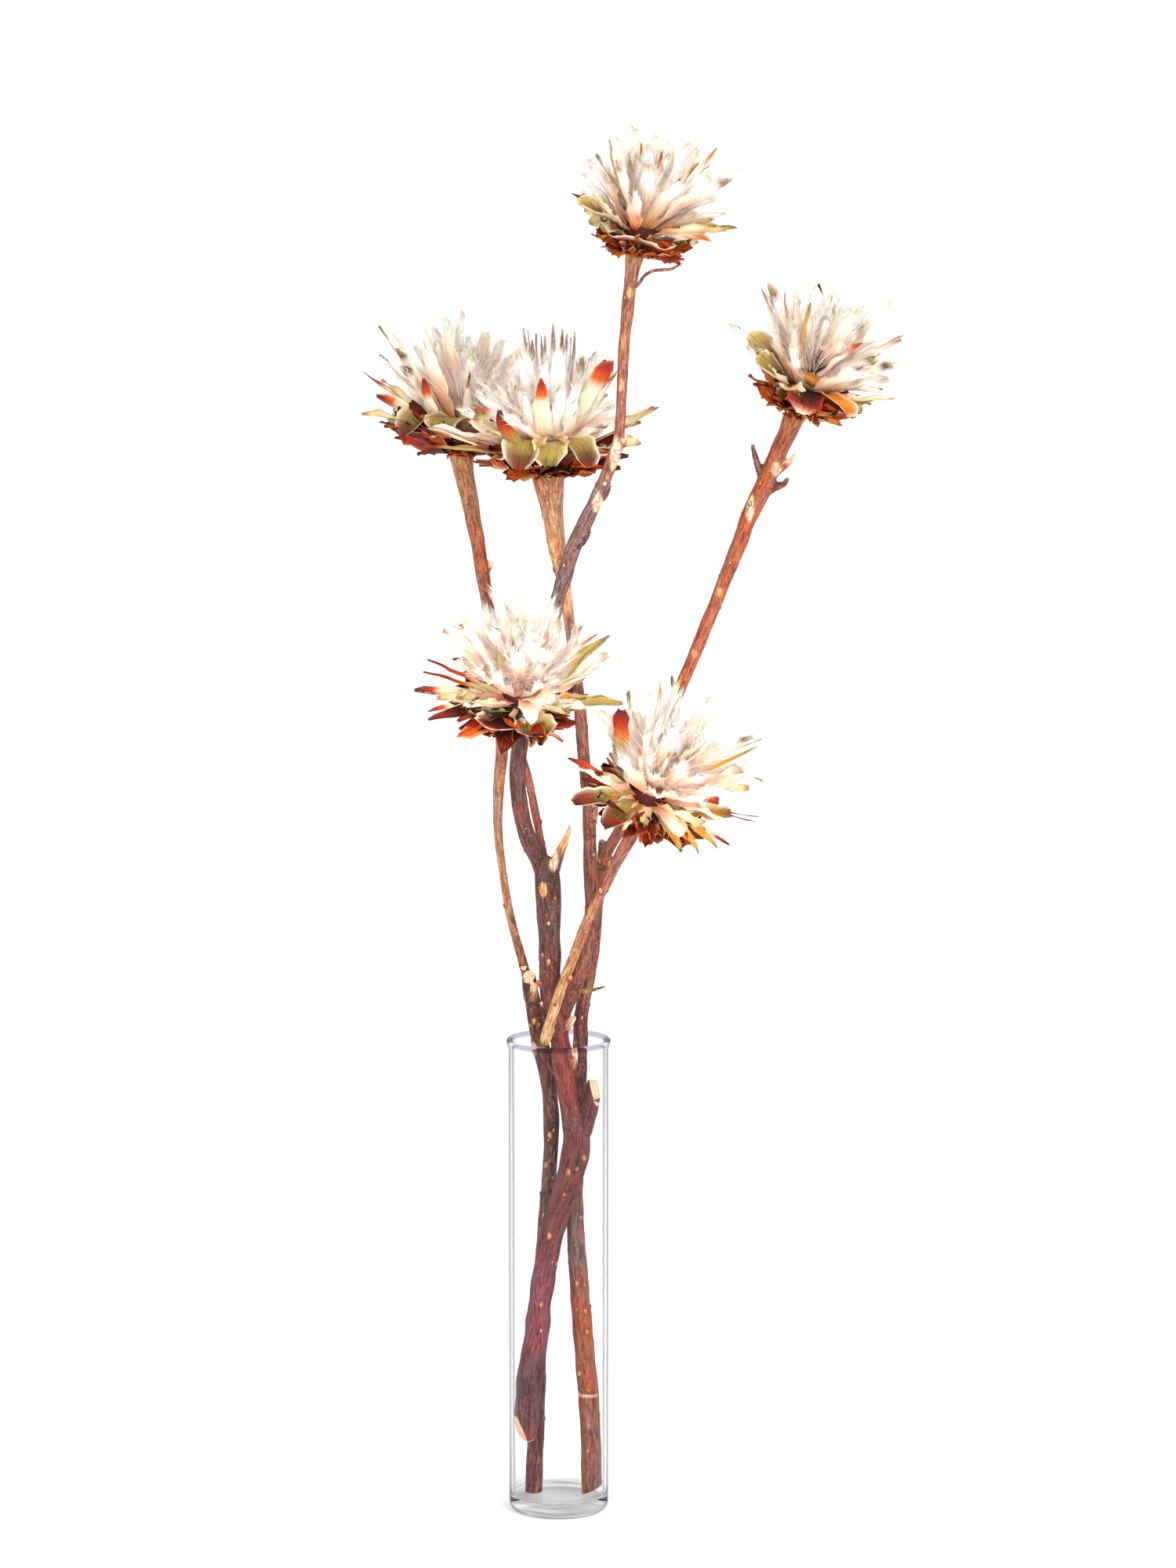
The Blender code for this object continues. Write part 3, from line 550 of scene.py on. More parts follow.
@dataclass(frozen=True)
class Studio:
    """The camera, a pale floor and soft light."""

    camera_place: tuple = (15.3, -2500.0, 750.0)
    camera_pitch: float = -8.35
    lens: float = 112.9
    sensor: float = 36.0
    floor_size: float = 120000.0
    floor_drop: float = 0.2  # how far the floor lies under the vase
    sky: float = 1.12

    def build(self) -> None:
        """Make the camera, the floor, the sky and the lamps."""
        self.build_camera()
        self.build_floor()
        self.build_sky()
        for lamp in LAMPS:
            lamp.build()
        bpy.context.scene.view_settings.view_transform = "Standard"

    def build_camera(self) -> None:
        """Make the camera at the photograph's place."""
        data = bpy.data.cameras.new("camera")
        data.lens = self.lens
        data.sensor_width = self.sensor
        camera = bpy.data.objects.new("camera", data)
        camera.location = Vector(self.camera_place) * MM
        camera.rotation_euler = (math.radians(90.0 + self.camera_pitch), 0.0, 0.0)
        bpy.context.scene.collection.objects.link(camera)
        bpy.context.scene.camera = camera

    def build_floor(self) -> None:
        """Lay the floor just under the vase."""
        bm = bmesh.new()
        bmesh.ops.create_grid(bm, x_segments=2, y_segments=2, size=self.floor_size / 2 * MM)
        mesh = bpy.data.meshes.new("floor")
        bm.to_mesh(mesh)
        bm.free()
        mesh.materials.append(FloorFinish("pale_floor").material())
        floor = bpy.data.objects.new("floor", mesh)
        floor.location = (0.0, 0.0, -self.floor_drop * MM)
        bpy.context.scene.collection.objects.link(floor)

    def build_sky(self) -> None:
        """Light the scene evenly from all round."""
        world = bpy.data.worlds.new("soft_sky")
        world.use_nodes = True
        background = world.node_tree.nodes["Background"]
        background.inputs["Color"].default_value = (1.0, 1.0, 1.0, 1.0)
        background.inputs["Strength"].default_value = self.sky
        bpy.context.scene.world = world


@dataclass(frozen=True)
class Vase:
    """Tall clear cylinder with a thick base and a rounded, slightly flared lip."""

    height: float = 250.0
    radius: float = 26.0
    wall: float = 2.0
    floor: float = 6.5
    lip_radius: float = 27.0
    lip_depth: float = 5.0
    base_round: float = 3.5
    inner_round: float = 3.0
    lip_swell: float = 0.35  # how far the lip has flared halfway up
    lip_inset: float = 0.5  # how far its bore is wider than the wall's
    levels: tuple = (0.2, 0.4, 0.6, 0.8)  # shares of the height where the walls have a ring
    sides: int = 128

    def outline(self) -> list[tuple]:
        """List the wall's outline as radius and height, from the inside's middle to the underside's."""
        inner = self.radius - self.wall
        places = [(0.0, self.floor)]
        places += self.quarter(inner - self.inner_round, self.floor + self.inner_round, self.inner_round)
        places += [(inner, share * self.height) for share in self.levels]
        places.append((inner, self.height - self.lip_depth))
        places.append((inner + self.lip_swell, self.height - self.lip_depth * 0.4))
        middle = (inner + self.lip_inset + self.lip_radius) / 2
        half = (self.lip_radius - inner - self.lip_inset) / 2
        for step in range(9):
            turn = math.radians(180.0 - step * 22.5)
            places.append((middle + half * math.cos(turn), self.height - half + half * math.sin(turn)))
        places.append((self.lip_radius - self.lip_swell, self.height - self.lip_depth * 0.6))
        places.append((self.radius, self.height - self.lip_depth))
        places += [(self.radius, share * self.height) for share in self.levels[::-1]]
        places += self.quarter(self.radius - self.base_round, self.base_round, self.base_round)[::-1]
        places.append((0.0, 0.0))
        return places

    @staticmethod
    def quarter(centre_radius: float, centre_height: float, size: float) -> list[tuple]:
        """List a quarter round's places, from straight under its centre out and up."""
        turns = [math.radians(-90.0 + step * 15.0) for step in range(7)]
        return [(centre_radius + size * math.cos(t), centre_height + size * math.sin(t)) for t in turns]

    def build(self) -> bpy.types.Object:
        """Turn the outline round Z as the glass piece."""
        bm = bmesh.new()
        corners = [bm.verts.new((radius * MM, 0.0, height * MM)) for radius, height in self.outline()]
        for first, second in zip(corners, corners[1:]):
            bm.edges.new((first, second))
        geometry = bm.verts[:] + bm.edges[:]
        bmesh.ops.spin(
            bm, geom=geometry, axis=(0.0, 0.0, 1.0), cent=(0.0, 0.0, 0.0),
            angle=math.tau, steps=self.sides, use_merge=True,
        )
        bmesh.ops.remove_doubles(bm, verts=bm.verts, dist=0.001 * MM)
        bmesh.ops.recalc_face_normals(bm, faces=bm.faces)
        mesh = bpy.data.meshes.new("glass_cylinder")
        bm.to_mesh(mesh)
        bm.free()
        mesh.shade_smooth()
        mesh.set_sharp_from_angle(angle=math.radians(40.0))
        mesh.materials.append(GlassFinish("clear_glass").material())
        return place_piece("glass_cylinder", mesh, "vase")


class Form(Enum):
    """Outlines of a bract, as share of its length and share of its width."""

    LANCE = ((0.0, 0.55), (0.3, 1.0), (0.62, 0.86), (0.86, 0.52), (1.0, 0.16))
    FLAME = ((0.0, 0.5), (0.34, 0.96), (0.62, 0.94), (0.86, 0.66), (1.0, 0.3))
    SPOON = ((0.0, 0.42), (0.35, 0.8), (0.66, 1.0), (0.88, 0.86), (1.0, 0.4))
    CHIP = ((0.0, 0.7), (0.4, 1.0), (0.74, 0.84), (0.9, 0.5), (1.0, 0.12))
    RIBBON = ((0.0, 0.7), (0.3, 1.0), (0.8, 0.9), (1.0, 0.25))
    THREAD = ((0.0, 1.0), (0.5, 0.7), (1.0, 0.2))


class Paint(Enum):
    """How a bract is coloured: its hues from root to tip."""

    RUSTY_SCALE = ((0.0, Hue.MAROON), (0.4, Hue.RUST), (0.8, Hue.RED), (1.0, Hue.MAROON))
    AMBER_SCALE = ((0.0, Hue.RUST), (0.4, Hue.ORANGE), (0.75, Hue.AMBER), (1.0, Hue.RUST))
    ORANGE_SCALE = ((0.0, Hue.MAROON), (0.5, Hue.ORANGE), (0.8, Hue.ORANGE), (1.0, Hue.RED))
    DARK_SCALE = ((0.0, Hue.BLACK_AND_SHADE), (0.6, Hue.MAROON), (0.85, Hue.RUST), (1.0, Hue.MAROON))
    OLIVE_CUP = ((0.0, Hue.PEACH), (0.35, Hue.STRAW), (0.62, Hue.OLIVE), (0.9, Hue.UMBER), (1.0, Hue.RUST))
    RUST_CUP = (
        (0.0, Hue.AMBER), (0.4, Hue.OLIVE), (0.62, Hue.DARK_OLIVE), (0.82, Hue.RUST), (1.0, Hue.MAROON),
    )
    # Painted shade: a cup's hollow painted black for the shade under the silk, with the cup's own maroon,
    # red and cream rim
    PAINTED_SHADE_CUP = ((0.0, Hue.BLACK_AND_SHADE), (0.55, Hue.BLACK_AND_SHADE), (0.78, Hue.MAROON), (0.9, Hue.RED), (1.0, Hue.CREAM))
    OLIVE_BOWL = ((0.0, Hue.MAROON), (0.4, Hue.UMBER), (0.7, Hue.OLIVE), (0.9, Hue.OLIVE), (1.0, Hue.STRAW))
    AMBER_CUP = ((0.0, Hue.UMBER), (0.3, Hue.AMBER), (0.7, Hue.AMBER), (0.9, Hue.ORANGE), (1.0, Hue.STRAW))
    CREAM_BLADE = (
        (0.0, Hue.ORANGE), (0.2, Hue.PEACH), (0.5, Hue.CREAM), (0.93, Hue.STRAW), (1.0, Hue.BARK_BROWN),
    )
    GOLD_BLADE = ((0.0, Hue.ORANGE), (0.4, Hue.STRAW), (0.75, Hue.AMBER), (0.9, Hue.OLIVE), (1.0, Hue.UMBER))
    STRAW_BLADE = ((0.0, Hue.CREAM), (0.4, Hue.STRAW), (0.75, Hue.OLIVE), (1.0, Hue.DARK_OLIVE))
    OLIVE_BLADE = ((0.0, Hue.CREAM), (0.3, Hue.STRAW), (0.7, Hue.OLIVE), (0.88, Hue.OLIVE), (1.0, Hue.RUST))
    RED_TIP = (
        (0.0, Hue.PEACH), (0.5, Hue.CREAM), (0.74, Hue.CREAM), (0.79, Hue.ORANGE), (0.86, Hue.RED),
        (1.0, Hue.MAROON),
    )
    FLAME_TIP = (
        (0.0, Hue.CREAM), (0.4, Hue.STRAW), (0.62, Hue.OLIVE), (0.72, Hue.ORANGE), (0.84, Hue.RED),
        (1.0, Hue.MAROON),
    )
    LONG_RED_TIP = (
        (0.0, Hue.CREAM), (0.4, Hue.STRAW), (0.56, Hue.ORANGE), (0.8, Hue.RED), (1.0, Hue.MAROON),
    )
    AMBER_TIP = ((0.0, Hue.WHITE), (0.6, Hue.WHITE), (0.74, Hue.AMBER), (0.9, Hue.ORANGE), (1.0, Hue.AMBER))
    SILK = (
        (0.0, Hue.ORANGE), (0.16, Hue.PEACH), (0.42, Hue.BLUSH), (0.68, Hue.WHITE), (0.92, Hue.WHITE),
        (1.0, Hue.STRAW),
    )
    SILK_BROWN = (
        (0.0, Hue.ORANGE), (0.16, Hue.PEACH), (0.4, Hue.BLUSH), (0.84, Hue.WHITE), (0.92, Hue.UMBER),
        (1.0, Hue.OLIVE),
    )
    SILK_AMBER = ((0.0, Hue.PEACH), (0.2, Hue.CREAM), (0.74, Hue.WHITE), (0.88, Hue.AMBER), (1.0, Hue.UMBER))
    SILK_RED = ((0.0, Hue.PEACH), (0.2, Hue.BLUSH), (0.74, Hue.WHITE), (0.84, Hue.ORANGE), (1.0, Hue.RUST))
    SILK_BLUSH = (
        (0.0, Hue.ORANGE), (0.3, Hue.PEACH), (0.62, Hue.BLUSH), (0.88, Hue.WHITE), (1.0, Hue.CREAM),
    )
    GOLD_SLIVER = (
        (0.0, Hue.PEACH), (0.25, Hue.STRAW), (0.5, Hue.AMBER), (0.85, Hue.OLIVE), (1.0, Hue.UMBER),
    )
    BLUSH_RIB = ((0.0, Hue.ORANGE), (0.26, Hue.PEACH), (0.6, Hue.BLUSH), (0.9, Hue.WHITE), (1.0, Hue.CREAM))
    # The tuft's ribbons: straw root and rust tip are their own colour, the silver and grey between are
    # painted shade
    PAINTED_SHADE_RIBBON = (
        (0.0, Hue.STRAW), (0.3, Hue.SILVER_SHADE), (0.7, Hue.SILVER_SHADE), (0.9, Hue.BARK_GREY), (1.0, Hue.RUST),
    )
    BROWN_THREAD = ((0.0, Hue.UMBER), (0.6, Hue.BARK_BROWN), (1.0, Hue.UMBER))

    def colours(self, shares: np.ndarray) -> np.ndarray:
        """Read the colours at shares of the length."""
        return hues_along(self.value, shares)


@dataclass(frozen=True)
class Bract:
    """One bract in its head's frame."""

    azimuth: float
    root_radius: float
    root_height: float
    rise_start: float
    rise_end: float
    length: float
    width: float
    roll: float = 70.0  # how far its edges curl in at the belly
    roll_tip: float = 120.0
    twist: float = 0.0
    sway: float = 0.0  # how far it bends sideways
    ruffle: float = 0.6  # how far its edges wave
    hairs: int = 0
    hair_length: float = 3.0
    form: Form = Form.LANCE
    paint: Paint = Paint.SILK
    edge: Hue = Hue.CREAM
    edge_share: float = 0.0  # how far the edges take their own hue
    bend_power: float = 1.0  # above 1 keeps the bend for the tip
    tear: float = 0.8  # how far the tip's end is torn


@dataclass(frozen=True)
class Sheet:
    """A bract laid out as a grid: its places, and the ways ahead, across and up from each row."""

    points: np.ndarray
    normal: np.ndarray
    heading: np.ndarray
    side: np.ndarray
    face: np.ndarray
    along: np.ndarray  # share of the length at each row
    across: np.ndarray  # share of half the width at each column
    half: np.ndarray  # half the width at each row
    number: float  # the bract's own number in the grain


NEEDLE = np.array([(2, 1, 0), (0, 1, 3), (1, 2, 3), (2, 0, 3)])
CURVED_HAIR = np.array([
    (2, 1, 0), (0, 1, 4), (0, 4, 3), (1, 2, 5), (1, 5, 4), (2, 0, 3), (2, 3, 5),
    (3, 4, 6), (4, 5, 6), (5, 3, 6),
])


def sheet_faces(index: np.ndarray, flip: bool) -> np.ndarray:
    """List a grid's triangles.

    Args:
        index: the grid's corner numbers.
        flip: whether they face the other way.

    Returns:
        The triangles.
    """
    a, b, c, d = index[:-1, :-1], index[1:, :-1], index[1:, 1:], index[:-1, 1:]
    faces = np.concatenate([
        np.stack([a, b, c], axis=-1).reshape(-1, 3),
        np.stack([a, c, d], axis=-1).reshape(-1, 3),
    ])
    return faces[:, ::-1] if flip else faces


def capped_tube(rings: int, sides: int) -> np.ndarray:
    """List the triangles of rings joined in a tube, closed by a point at each end.

    Args:
        rings: how many rings there are. Their corners come first, then the two ends' points.
        sides: how many corners a ring has.

    Returns:
        The triangles, which face out where the rings turn left about the way from first to last.
    """
    index = np.arange(rings * sides).reshape(rings, sides)
    wrapped = np.concatenate([index, index[:, :1]], axis=1)
    after = np.roll(index, -1, axis=1)
    cap = np.full(sides, rings * sides)
    start = np.stack([cap, after[0], index[0]], axis=-1)
    end = np.stack([cap + 1, index[-1], after[-1]], axis=-1)
    return np.concatenate([sheet_faces(wrapped, True), start, end])


def repeated(faces: np.ndarray, corners: int, count: int) -> np.ndarray:
    """Repeat one hair's triangles for many hairs with so many corners each."""
    return (faces[None, :, :] + corners * np.arange(count)[:, None, None]).reshape(-1, 3)


@dataclass(frozen=True)
class BractLoft:
    """Turns a bract's numbers into a thin closed shell and the hairs along its edges."""

    rows: int = 11
    columns: int = 7
    ragged: float = 0.12  # how unevenly the edges are torn
    thickness: float = 0.5
    thin_under: float = 1.5  # half width under which the shell thins out
    root_roll: float = 0.6  # share of the belly's roll at the root
    brightness: tuple = (0.86, 1.06)  # of a bract beside its paint
    hair_radius: float = 0.13
    edge_hairs: float = 0.6  # share of the hairs that stand on the edges
    hair_lean: tuple = (0.05, 0.6)
    hair_stray: float = 0.16
    hair_sizes: tuple = (0.45, 1.3)  # shares of the hair length
    hair_white: float = 0.42  # how much whiter hairs are than their bract

    def add_to(self, weave: Weave, bract: Bract, draw: np.random.Generator) -> None:
        """Add one bract with its hairs.

        Args:
            weave: where the shells go.
            bract: the bract's numbers.
            draw: the head's own seeded draws.
        """
        sheet = self.lay_out(bract, draw)
        self.add_shell(weave, bract, sheet, draw)
        if bract.hairs:
            self.add_hairs(weave, bract, sheet, draw)

    def lay_out(self, bract: Bract, draw: np.random.Generator) -> Sheet:
        """Roll, wave and tear the bract's middle surface.

        Args:
            bract: the bract's numbers.
            draw: the head's own seeded draws.

        Returns:
            The bract's grid.
        """
        along = np.linspace(0.0, 1.0, self.rows)
        across = np.linspace(-1.0, 1.0, self.columns)
        spine, heading, side, face = self.spine(bract, along)
        half = bract.width / 2 * along_stops(bract.form.value, along)
        rag = 1.0 + draw.uniform(-self.ragged, self.ragged, (self.rows, 2))
        rolls = ((0.0, bract.roll * self.root_roll), (0.5, bract.roll), (1.0, bract.roll_tip))
        roll = np.radians(along_stops(rolls, along))
        turn = across[None, :] * roll[:, None] / 2
        spread = (half / np.maximum(roll / 2, 1e-3))[:, None]
        edge = np.where(across[None, :] < 0, rag[:, :1], rag[:, 1:])
        out = spread * np.sin(turn) * edge
        lift = spread * (1.0 - np.cos(turn))
        waves = self.waves(bract, along, across, draw)
        points = (
            spine[:, None, :]
            + side[:, None, :] * out[..., None]
            + face[:, None, :] * (lift + waves)[..., None]
        )
        torn = draw.uniform(-bract.tear, bract.tear, self.columns)[:, None]
        points[-1] += heading[-1] * torn
        points[-2] += heading[-2] * torn * 0.4
        up, down = face[:, None, :] * np.cos(turn)[..., None], side[:, None, :] * np.sin(turn)[..., None]
        number = draw.uniform(0.0, 900.0)
        return Sheet(points, unit(up - down), heading, side, face, along, across, half, number)

    def spine(self, bract: Bract, along: np.ndarray) -> tuple:
        """Follow the bract's midrib.

        Args:
            bract: the bract's numbers.
            along: shares of its length.

        Returns:
            The midrib's places and, at each, the way ahead, the way across and the way up from its face.
        """
        turn = math.radians(bract.azimuth)
        outward = np.array((math.cos(turn), math.sin(turn), 0.0))
        sideways = np.array((-math.sin(turn), math.cos(turn), 0.0))
        rise = np.radians(bract.rise_start + (bract.rise_end - bract.rise_start) * along**bract.bend_power)
        sway = np.radians(bract.sway) * along
        flat = outward[None, :] * np.cos(sway)[:, None] + sideways[None, :] * np.sin(sway)[:, None]
        heading = flat * np.cos(rise)[:, None] + UP[None, :] * np.sin(rise)[:, None]
        steps = heading[:-1] * (bract.length * np.diff(along))[:, None]
        start = outward * bract.root_radius + UP * bract.root_height
        spine = np.concatenate([start[None, :], start[None, :] + np.cumsum(steps, axis=0)])
        across = unit(np.cross(UP[None, :], flat))
        normal = unit(np.cross(heading, across))
        spin = np.radians(bract.twist) * along
        side = across * np.cos(spin)[:, None] + normal * np.sin(spin)[:, None]
        face = normal * np.cos(spin)[:, None] - across * np.sin(spin)[:, None]
        return spine, heading, side, face

    def waves(
        self, bract: Bract, along: np.ndarray, across: np.ndarray, draw: np.random.Generator,
    ) -> np.ndarray:
        """Wave the edges and dent the middle a little, as dry paper does.

        Args:
            bract: the bract's numbers.
            along: shares of its length.
            across: shares of half its width.
            draw: the head's own seeded draws.

        Returns:
            How far each place of the grid is lifted.
        """
        count, phase = draw.uniform(1.5, 3.5), draw.uniform(0.0, math.tau, 2)
        edge = np.abs(across[None, :]) ** 2 * np.sin(math.tau * count * along[:, None] + phase[0])
        other = np.sin(math.tau * (along[:, None] * 1.3 + across[None, :] * 0.4) + phase[1])
        return bract.ruffle * (edge + 0.35 * other) * np.minimum(along * 3.0, 1.0)[:, None]

    def add_shell(self, weave: Weave, bract: Bract, sheet: Sheet, draw: np.random.Generator) -> None:
        """Add the bract's two faces, which meet in a thin edge all round.

        Args:
            weave: where the shell goes.
            bract: the bract's numbers.
            sheet: its grid.
            draw: the head's own seeded draws.
        """
        rows, columns = self.rows, self.columns
        thick = self.thickness / 2 * np.sqrt(np.maximum(1.0 - sheet.across**2, 0.0))[None, :]
        thick = thick * np.minimum(sheet.half / self.thin_under, 1.0)[:, None]
        thick[0] = thick[-1] = 0.0
        top = (sheet.points + sheet.normal * thick[..., None]).reshape(-1, 3)
        under = (sheet.points - sheet.normal * thick[..., None])[1:-1, 1:-1].reshape(-1, 3)
        upper = np.arange(rows * columns).reshape(rows, columns)
        lower = upper.copy()
        inside = np.arange((rows - 2) * (columns - 2)).reshape(rows - 2, columns - 2)
        lower[1:-1, 1:-1] = rows * columns + inside
        faces = np.concatenate([sheet_faces(upper, False), sheet_faces(lower, True)])
        colour = bract.paint.colours(np.clip(sheet.along + draw.uniform(-0.03, 0.03), 0.0, 1.0))
        colour = colour * draw.uniform(*self.brightness)
        shade = np.broadcast_to(colour[:, None, :], (rows, columns, 3)).copy()
        edge = bract.edge_share * np.abs(sheet.across)[None, :] ** 6
        edge = edge * np.minimum(sheet.along * 4.0, 1.0)[:, None]
        shade += (bract.edge.linear - shade) * edge[..., None]
        grain = np.stack(
            [
                np.broadcast_to(sheet.across[None, :] * sheet.half[:, None], (rows, columns)),
                np.broadcast_to((sheet.along * bract.length)[:, None], (rows, columns)),
                np.full((rows, columns), sheet.number),
            ],
            axis=-1,
        )
        inner_shade = shade[1:-1, 1:-1].reshape(-1, 3)
        inner_grain = grain[1:-1, 1:-1].reshape(-1, 3) + (40.0, 0.0, 0.0)
        weave.add(
            np.concatenate([top, under]), faces, np.concatenate([shade.reshape(-1, 3), inner_shade]),
            np.concatenate([grain.reshape(-1, 3), inner_grain]),
        )

    def add_hairs(self, weave: Weave, bract: Bract, sheet: Sheet, draw: np.random.Generator) -> None:
        """Add silky hairs along both edges and over the faces.

        Args:
            weave: where the shells go.
            bract: the bract's numbers.
            sheet: its grid.
            draw: the head's own seeded draws.
        """
        count = bract.hairs
        row = (self.rows - 1.05) * draw.uniform(0.06, 1.0, count) ** 0.8
        base = row.astype(int)
        part = (row - base)[:, None]
        way = np.where(draw.random(count) < 0.5, -1.0, 1.0)
        on_edge = draw.random(count) < self.edge_hairs
        inner = draw.integers(1, self.columns - 1, count)
        column = np.where(on_edge, np.where(way < 0, 0, self.columns - 1), inner)
        root = sheet.points[base, column] * (1 - part) + sheet.points[base + 1, column] * part
        ahead, out, up = sheet.heading[base], sheet.side[base] * way[:, None], sheet.face[base]
        lean = (draw.uniform(*self.hair_lean, count) * np.where(on_edge, 1.0, 0.3))[:, None]
        stray = draw.normal(0.0, self.hair_stray, (count, 3))
        lift = np.where(on_edge, draw.normal(0.1, 0.2, count), draw.uniform(0.15, 0.5, count))[:, None]
        aim = unit(ahead + out * lean + up * lift + stray)
        length = bract.hair_length * draw.uniform(*self.hair_sizes, count)[:, None]
        tint = bract.paint.colours(row / (self.rows - 1))
        tint = tint + (Hue.WHITE.linear - tint) * self.hair_white
        self.add_needles(weave, root - aim * 0.3, aim, length, tint, sheet.number)

    def hair_ring(self, aim: np.ndarray) -> list[np.ndarray]:
        """List the three ways from a hair's middle to its corners, for hairs that point along aim."""
        first = unit(np.cross(aim, np.where(np.abs(aim[:, 2:]) < 0.9, UP, (1.0, 0.0, 0.0))))
        second = np.cross(aim, first)
        turns = [math.tau * step / 3 for step in range(3)]
        return [(first * math.cos(turn) + second * math.sin(turn)) * self.hair_radius for turn in turns]

    def add_needles(
        self, weave: Weave, root: np.ndarray, aim: np.ndarray, length: np.ndarray, tint: np.ndarray,
        number: float,
    ) -> None:
        """Add three-sided hairs that taper to a point.

        Args:
            weave: where the shells go.
            root: where each hair starts.
            aim: the way it points.
            length: its length.
            tint: its colour.
            number: its number in the grain.
        """
        count = len(root)
        ring = [root + way for way in self.hair_ring(aim)]
        points = np.stack([*ring, root + aim * length], axis=1).reshape(-1, 3)
        tints = np.repeat(np.broadcast_to(tint, (count, 3)), 4, axis=0)
        weave.add(points, repeated(NEEDLE, 4, count), tints, np.array((0.0, 0.0, number)))

    def add_curved_hairs(
        self, weave: Weave, root: np.ndarray, aim: np.ndarray, bend: np.ndarray, length: np.ndarray,
        tints: tuple, number: float,
    ) -> None:
        """Add long hairs that curve over in two steps.

        Args:
            weave: where the shells go.
            root: where each hair starts.
            aim: the way it sets off.
            bend: the way it leans over.
            length: its length.
            tints: its colours at the root, the middle and the tip.
            number: its number in the grain.
        """
        count = len(root)
        ring = self.hair_ring(aim)
        middle = root + aim * length * 0.55 + bend * length * 0.06
        tip = root + aim * length * 0.94 + bend * length * 0.3
        foot, waist = [root + way for way in ring], [middle + way * 0.8 for way in ring]
        points = np.stack([*foot, *waist, tip], axis=1).reshape(-1, 3)
        tint = np.array([tints[0]] * 3 + [tints[1]] * 3 + [tints[2]])
        faces = repeated(CURVED_HAIR, 7, count)
        weave.add(points, faces, np.tile(tint, (count, 1)), np.array((0.0, 0.0, number)))


@dataclass(frozen=True)
class Row:
    """A ring of like bracts round a head, each a little different."""

    count: int
    radius: float
    height: float
    rise_start: float
    rise_end: float
    share: float  # of the head's reach for this layer
    width: float
    roll: float
    roll_tip: float
    form: Form
    paints: tuple
    hairs: int = 0
    hair_length: float = 3.0
    ruffle: float = 0.6
    edges: tuple = ((Hue.CREAM, 0.0),)
    shortest: float = 0.86


class Layer(Enum):
    """The four layers of a head, by the name that ends their solids' names."""

    SCALES = "scales"
    BRACTS = "bracts"
    SILK = "silk"
    PLUME = "plume"


SCALE_PAINTS = (
    Paint.RUSTY_SCALE, Paint.ORANGE_SCALE, Paint.DARK_SCALE, Paint.DARK_SCALE, Paint.RUSTY_SCALE,
)
WARM_SCALES = (
    Paint.AMBER_SCALE, Paint.ORANGE_SCALE, Paint.AMBER_SCALE, Paint.ORANGE_SCALE, Paint.RUSTY_SCALE,
)
CUP_PAINTS = (Paint.OLIVE_CUP, Paint.RUST_CUP, Paint.RUST_CUP, Paint.OLIVE_CUP)
BLADE_PAINTS = (
    Paint.CREAM_BLADE, Paint.SILK, Paint.CREAM_BLADE, Paint.SILK, Paint.GOLD_BLADE, Paint.CREAM_BLADE,
)
SILK_PAINTS = (Paint.SILK, Paint.SILK, Paint.SILK_BROWN, Paint.SILK, Paint.SILK_BLUSH)
BLUSH_PAINTS = (Paint.SILK_BLUSH, Paint.SILK, Paint.SILK_BLUSH, Paint.SILK_BLUSH, Paint.SILK_BROWN)
SLIVER_PAINTS = (Paint.GOLD_SLIVER, Paint.SILK_BROWN, Paint.SILK_AMBER, Paint.SILK_RED)
PLUME_PAINTS = (Paint.BLUSH_RIB, Paint.BLUSH_RIB, Paint.SILK)

SCALE_EDGES = ((Hue.AMBER, 0.5), (Hue.STRAW, 0.7), (Hue.BLACK_AND_SHADE, 0.4), (Hue.ORANGE, 0.5))
CUP_EDGES = ((Hue.CREAM, 0.9), (Hue.STRAW, 0.7))
BLADE_EDGES = ((Hue.WHITE, 0.5), (Hue.UMBER, 0.4), (Hue.STRAW, 0.5))
SILK_EDGES = ((Hue.WHITE, 0.5), (Hue.STRAW, 0.6), (Hue.AMBER, 0.6), (Hue.WHITE, 0.3))


def scale_row(form: Form, ruffle: float, *sizes: float) -> Row:
    """Make a row of scales, whose sizes are the row's numbers from its count to its tip's roll."""
    return Row(*sizes, form, SCALE_PAINTS, ruffle=ruffle, edges=SCALE_EDGES)


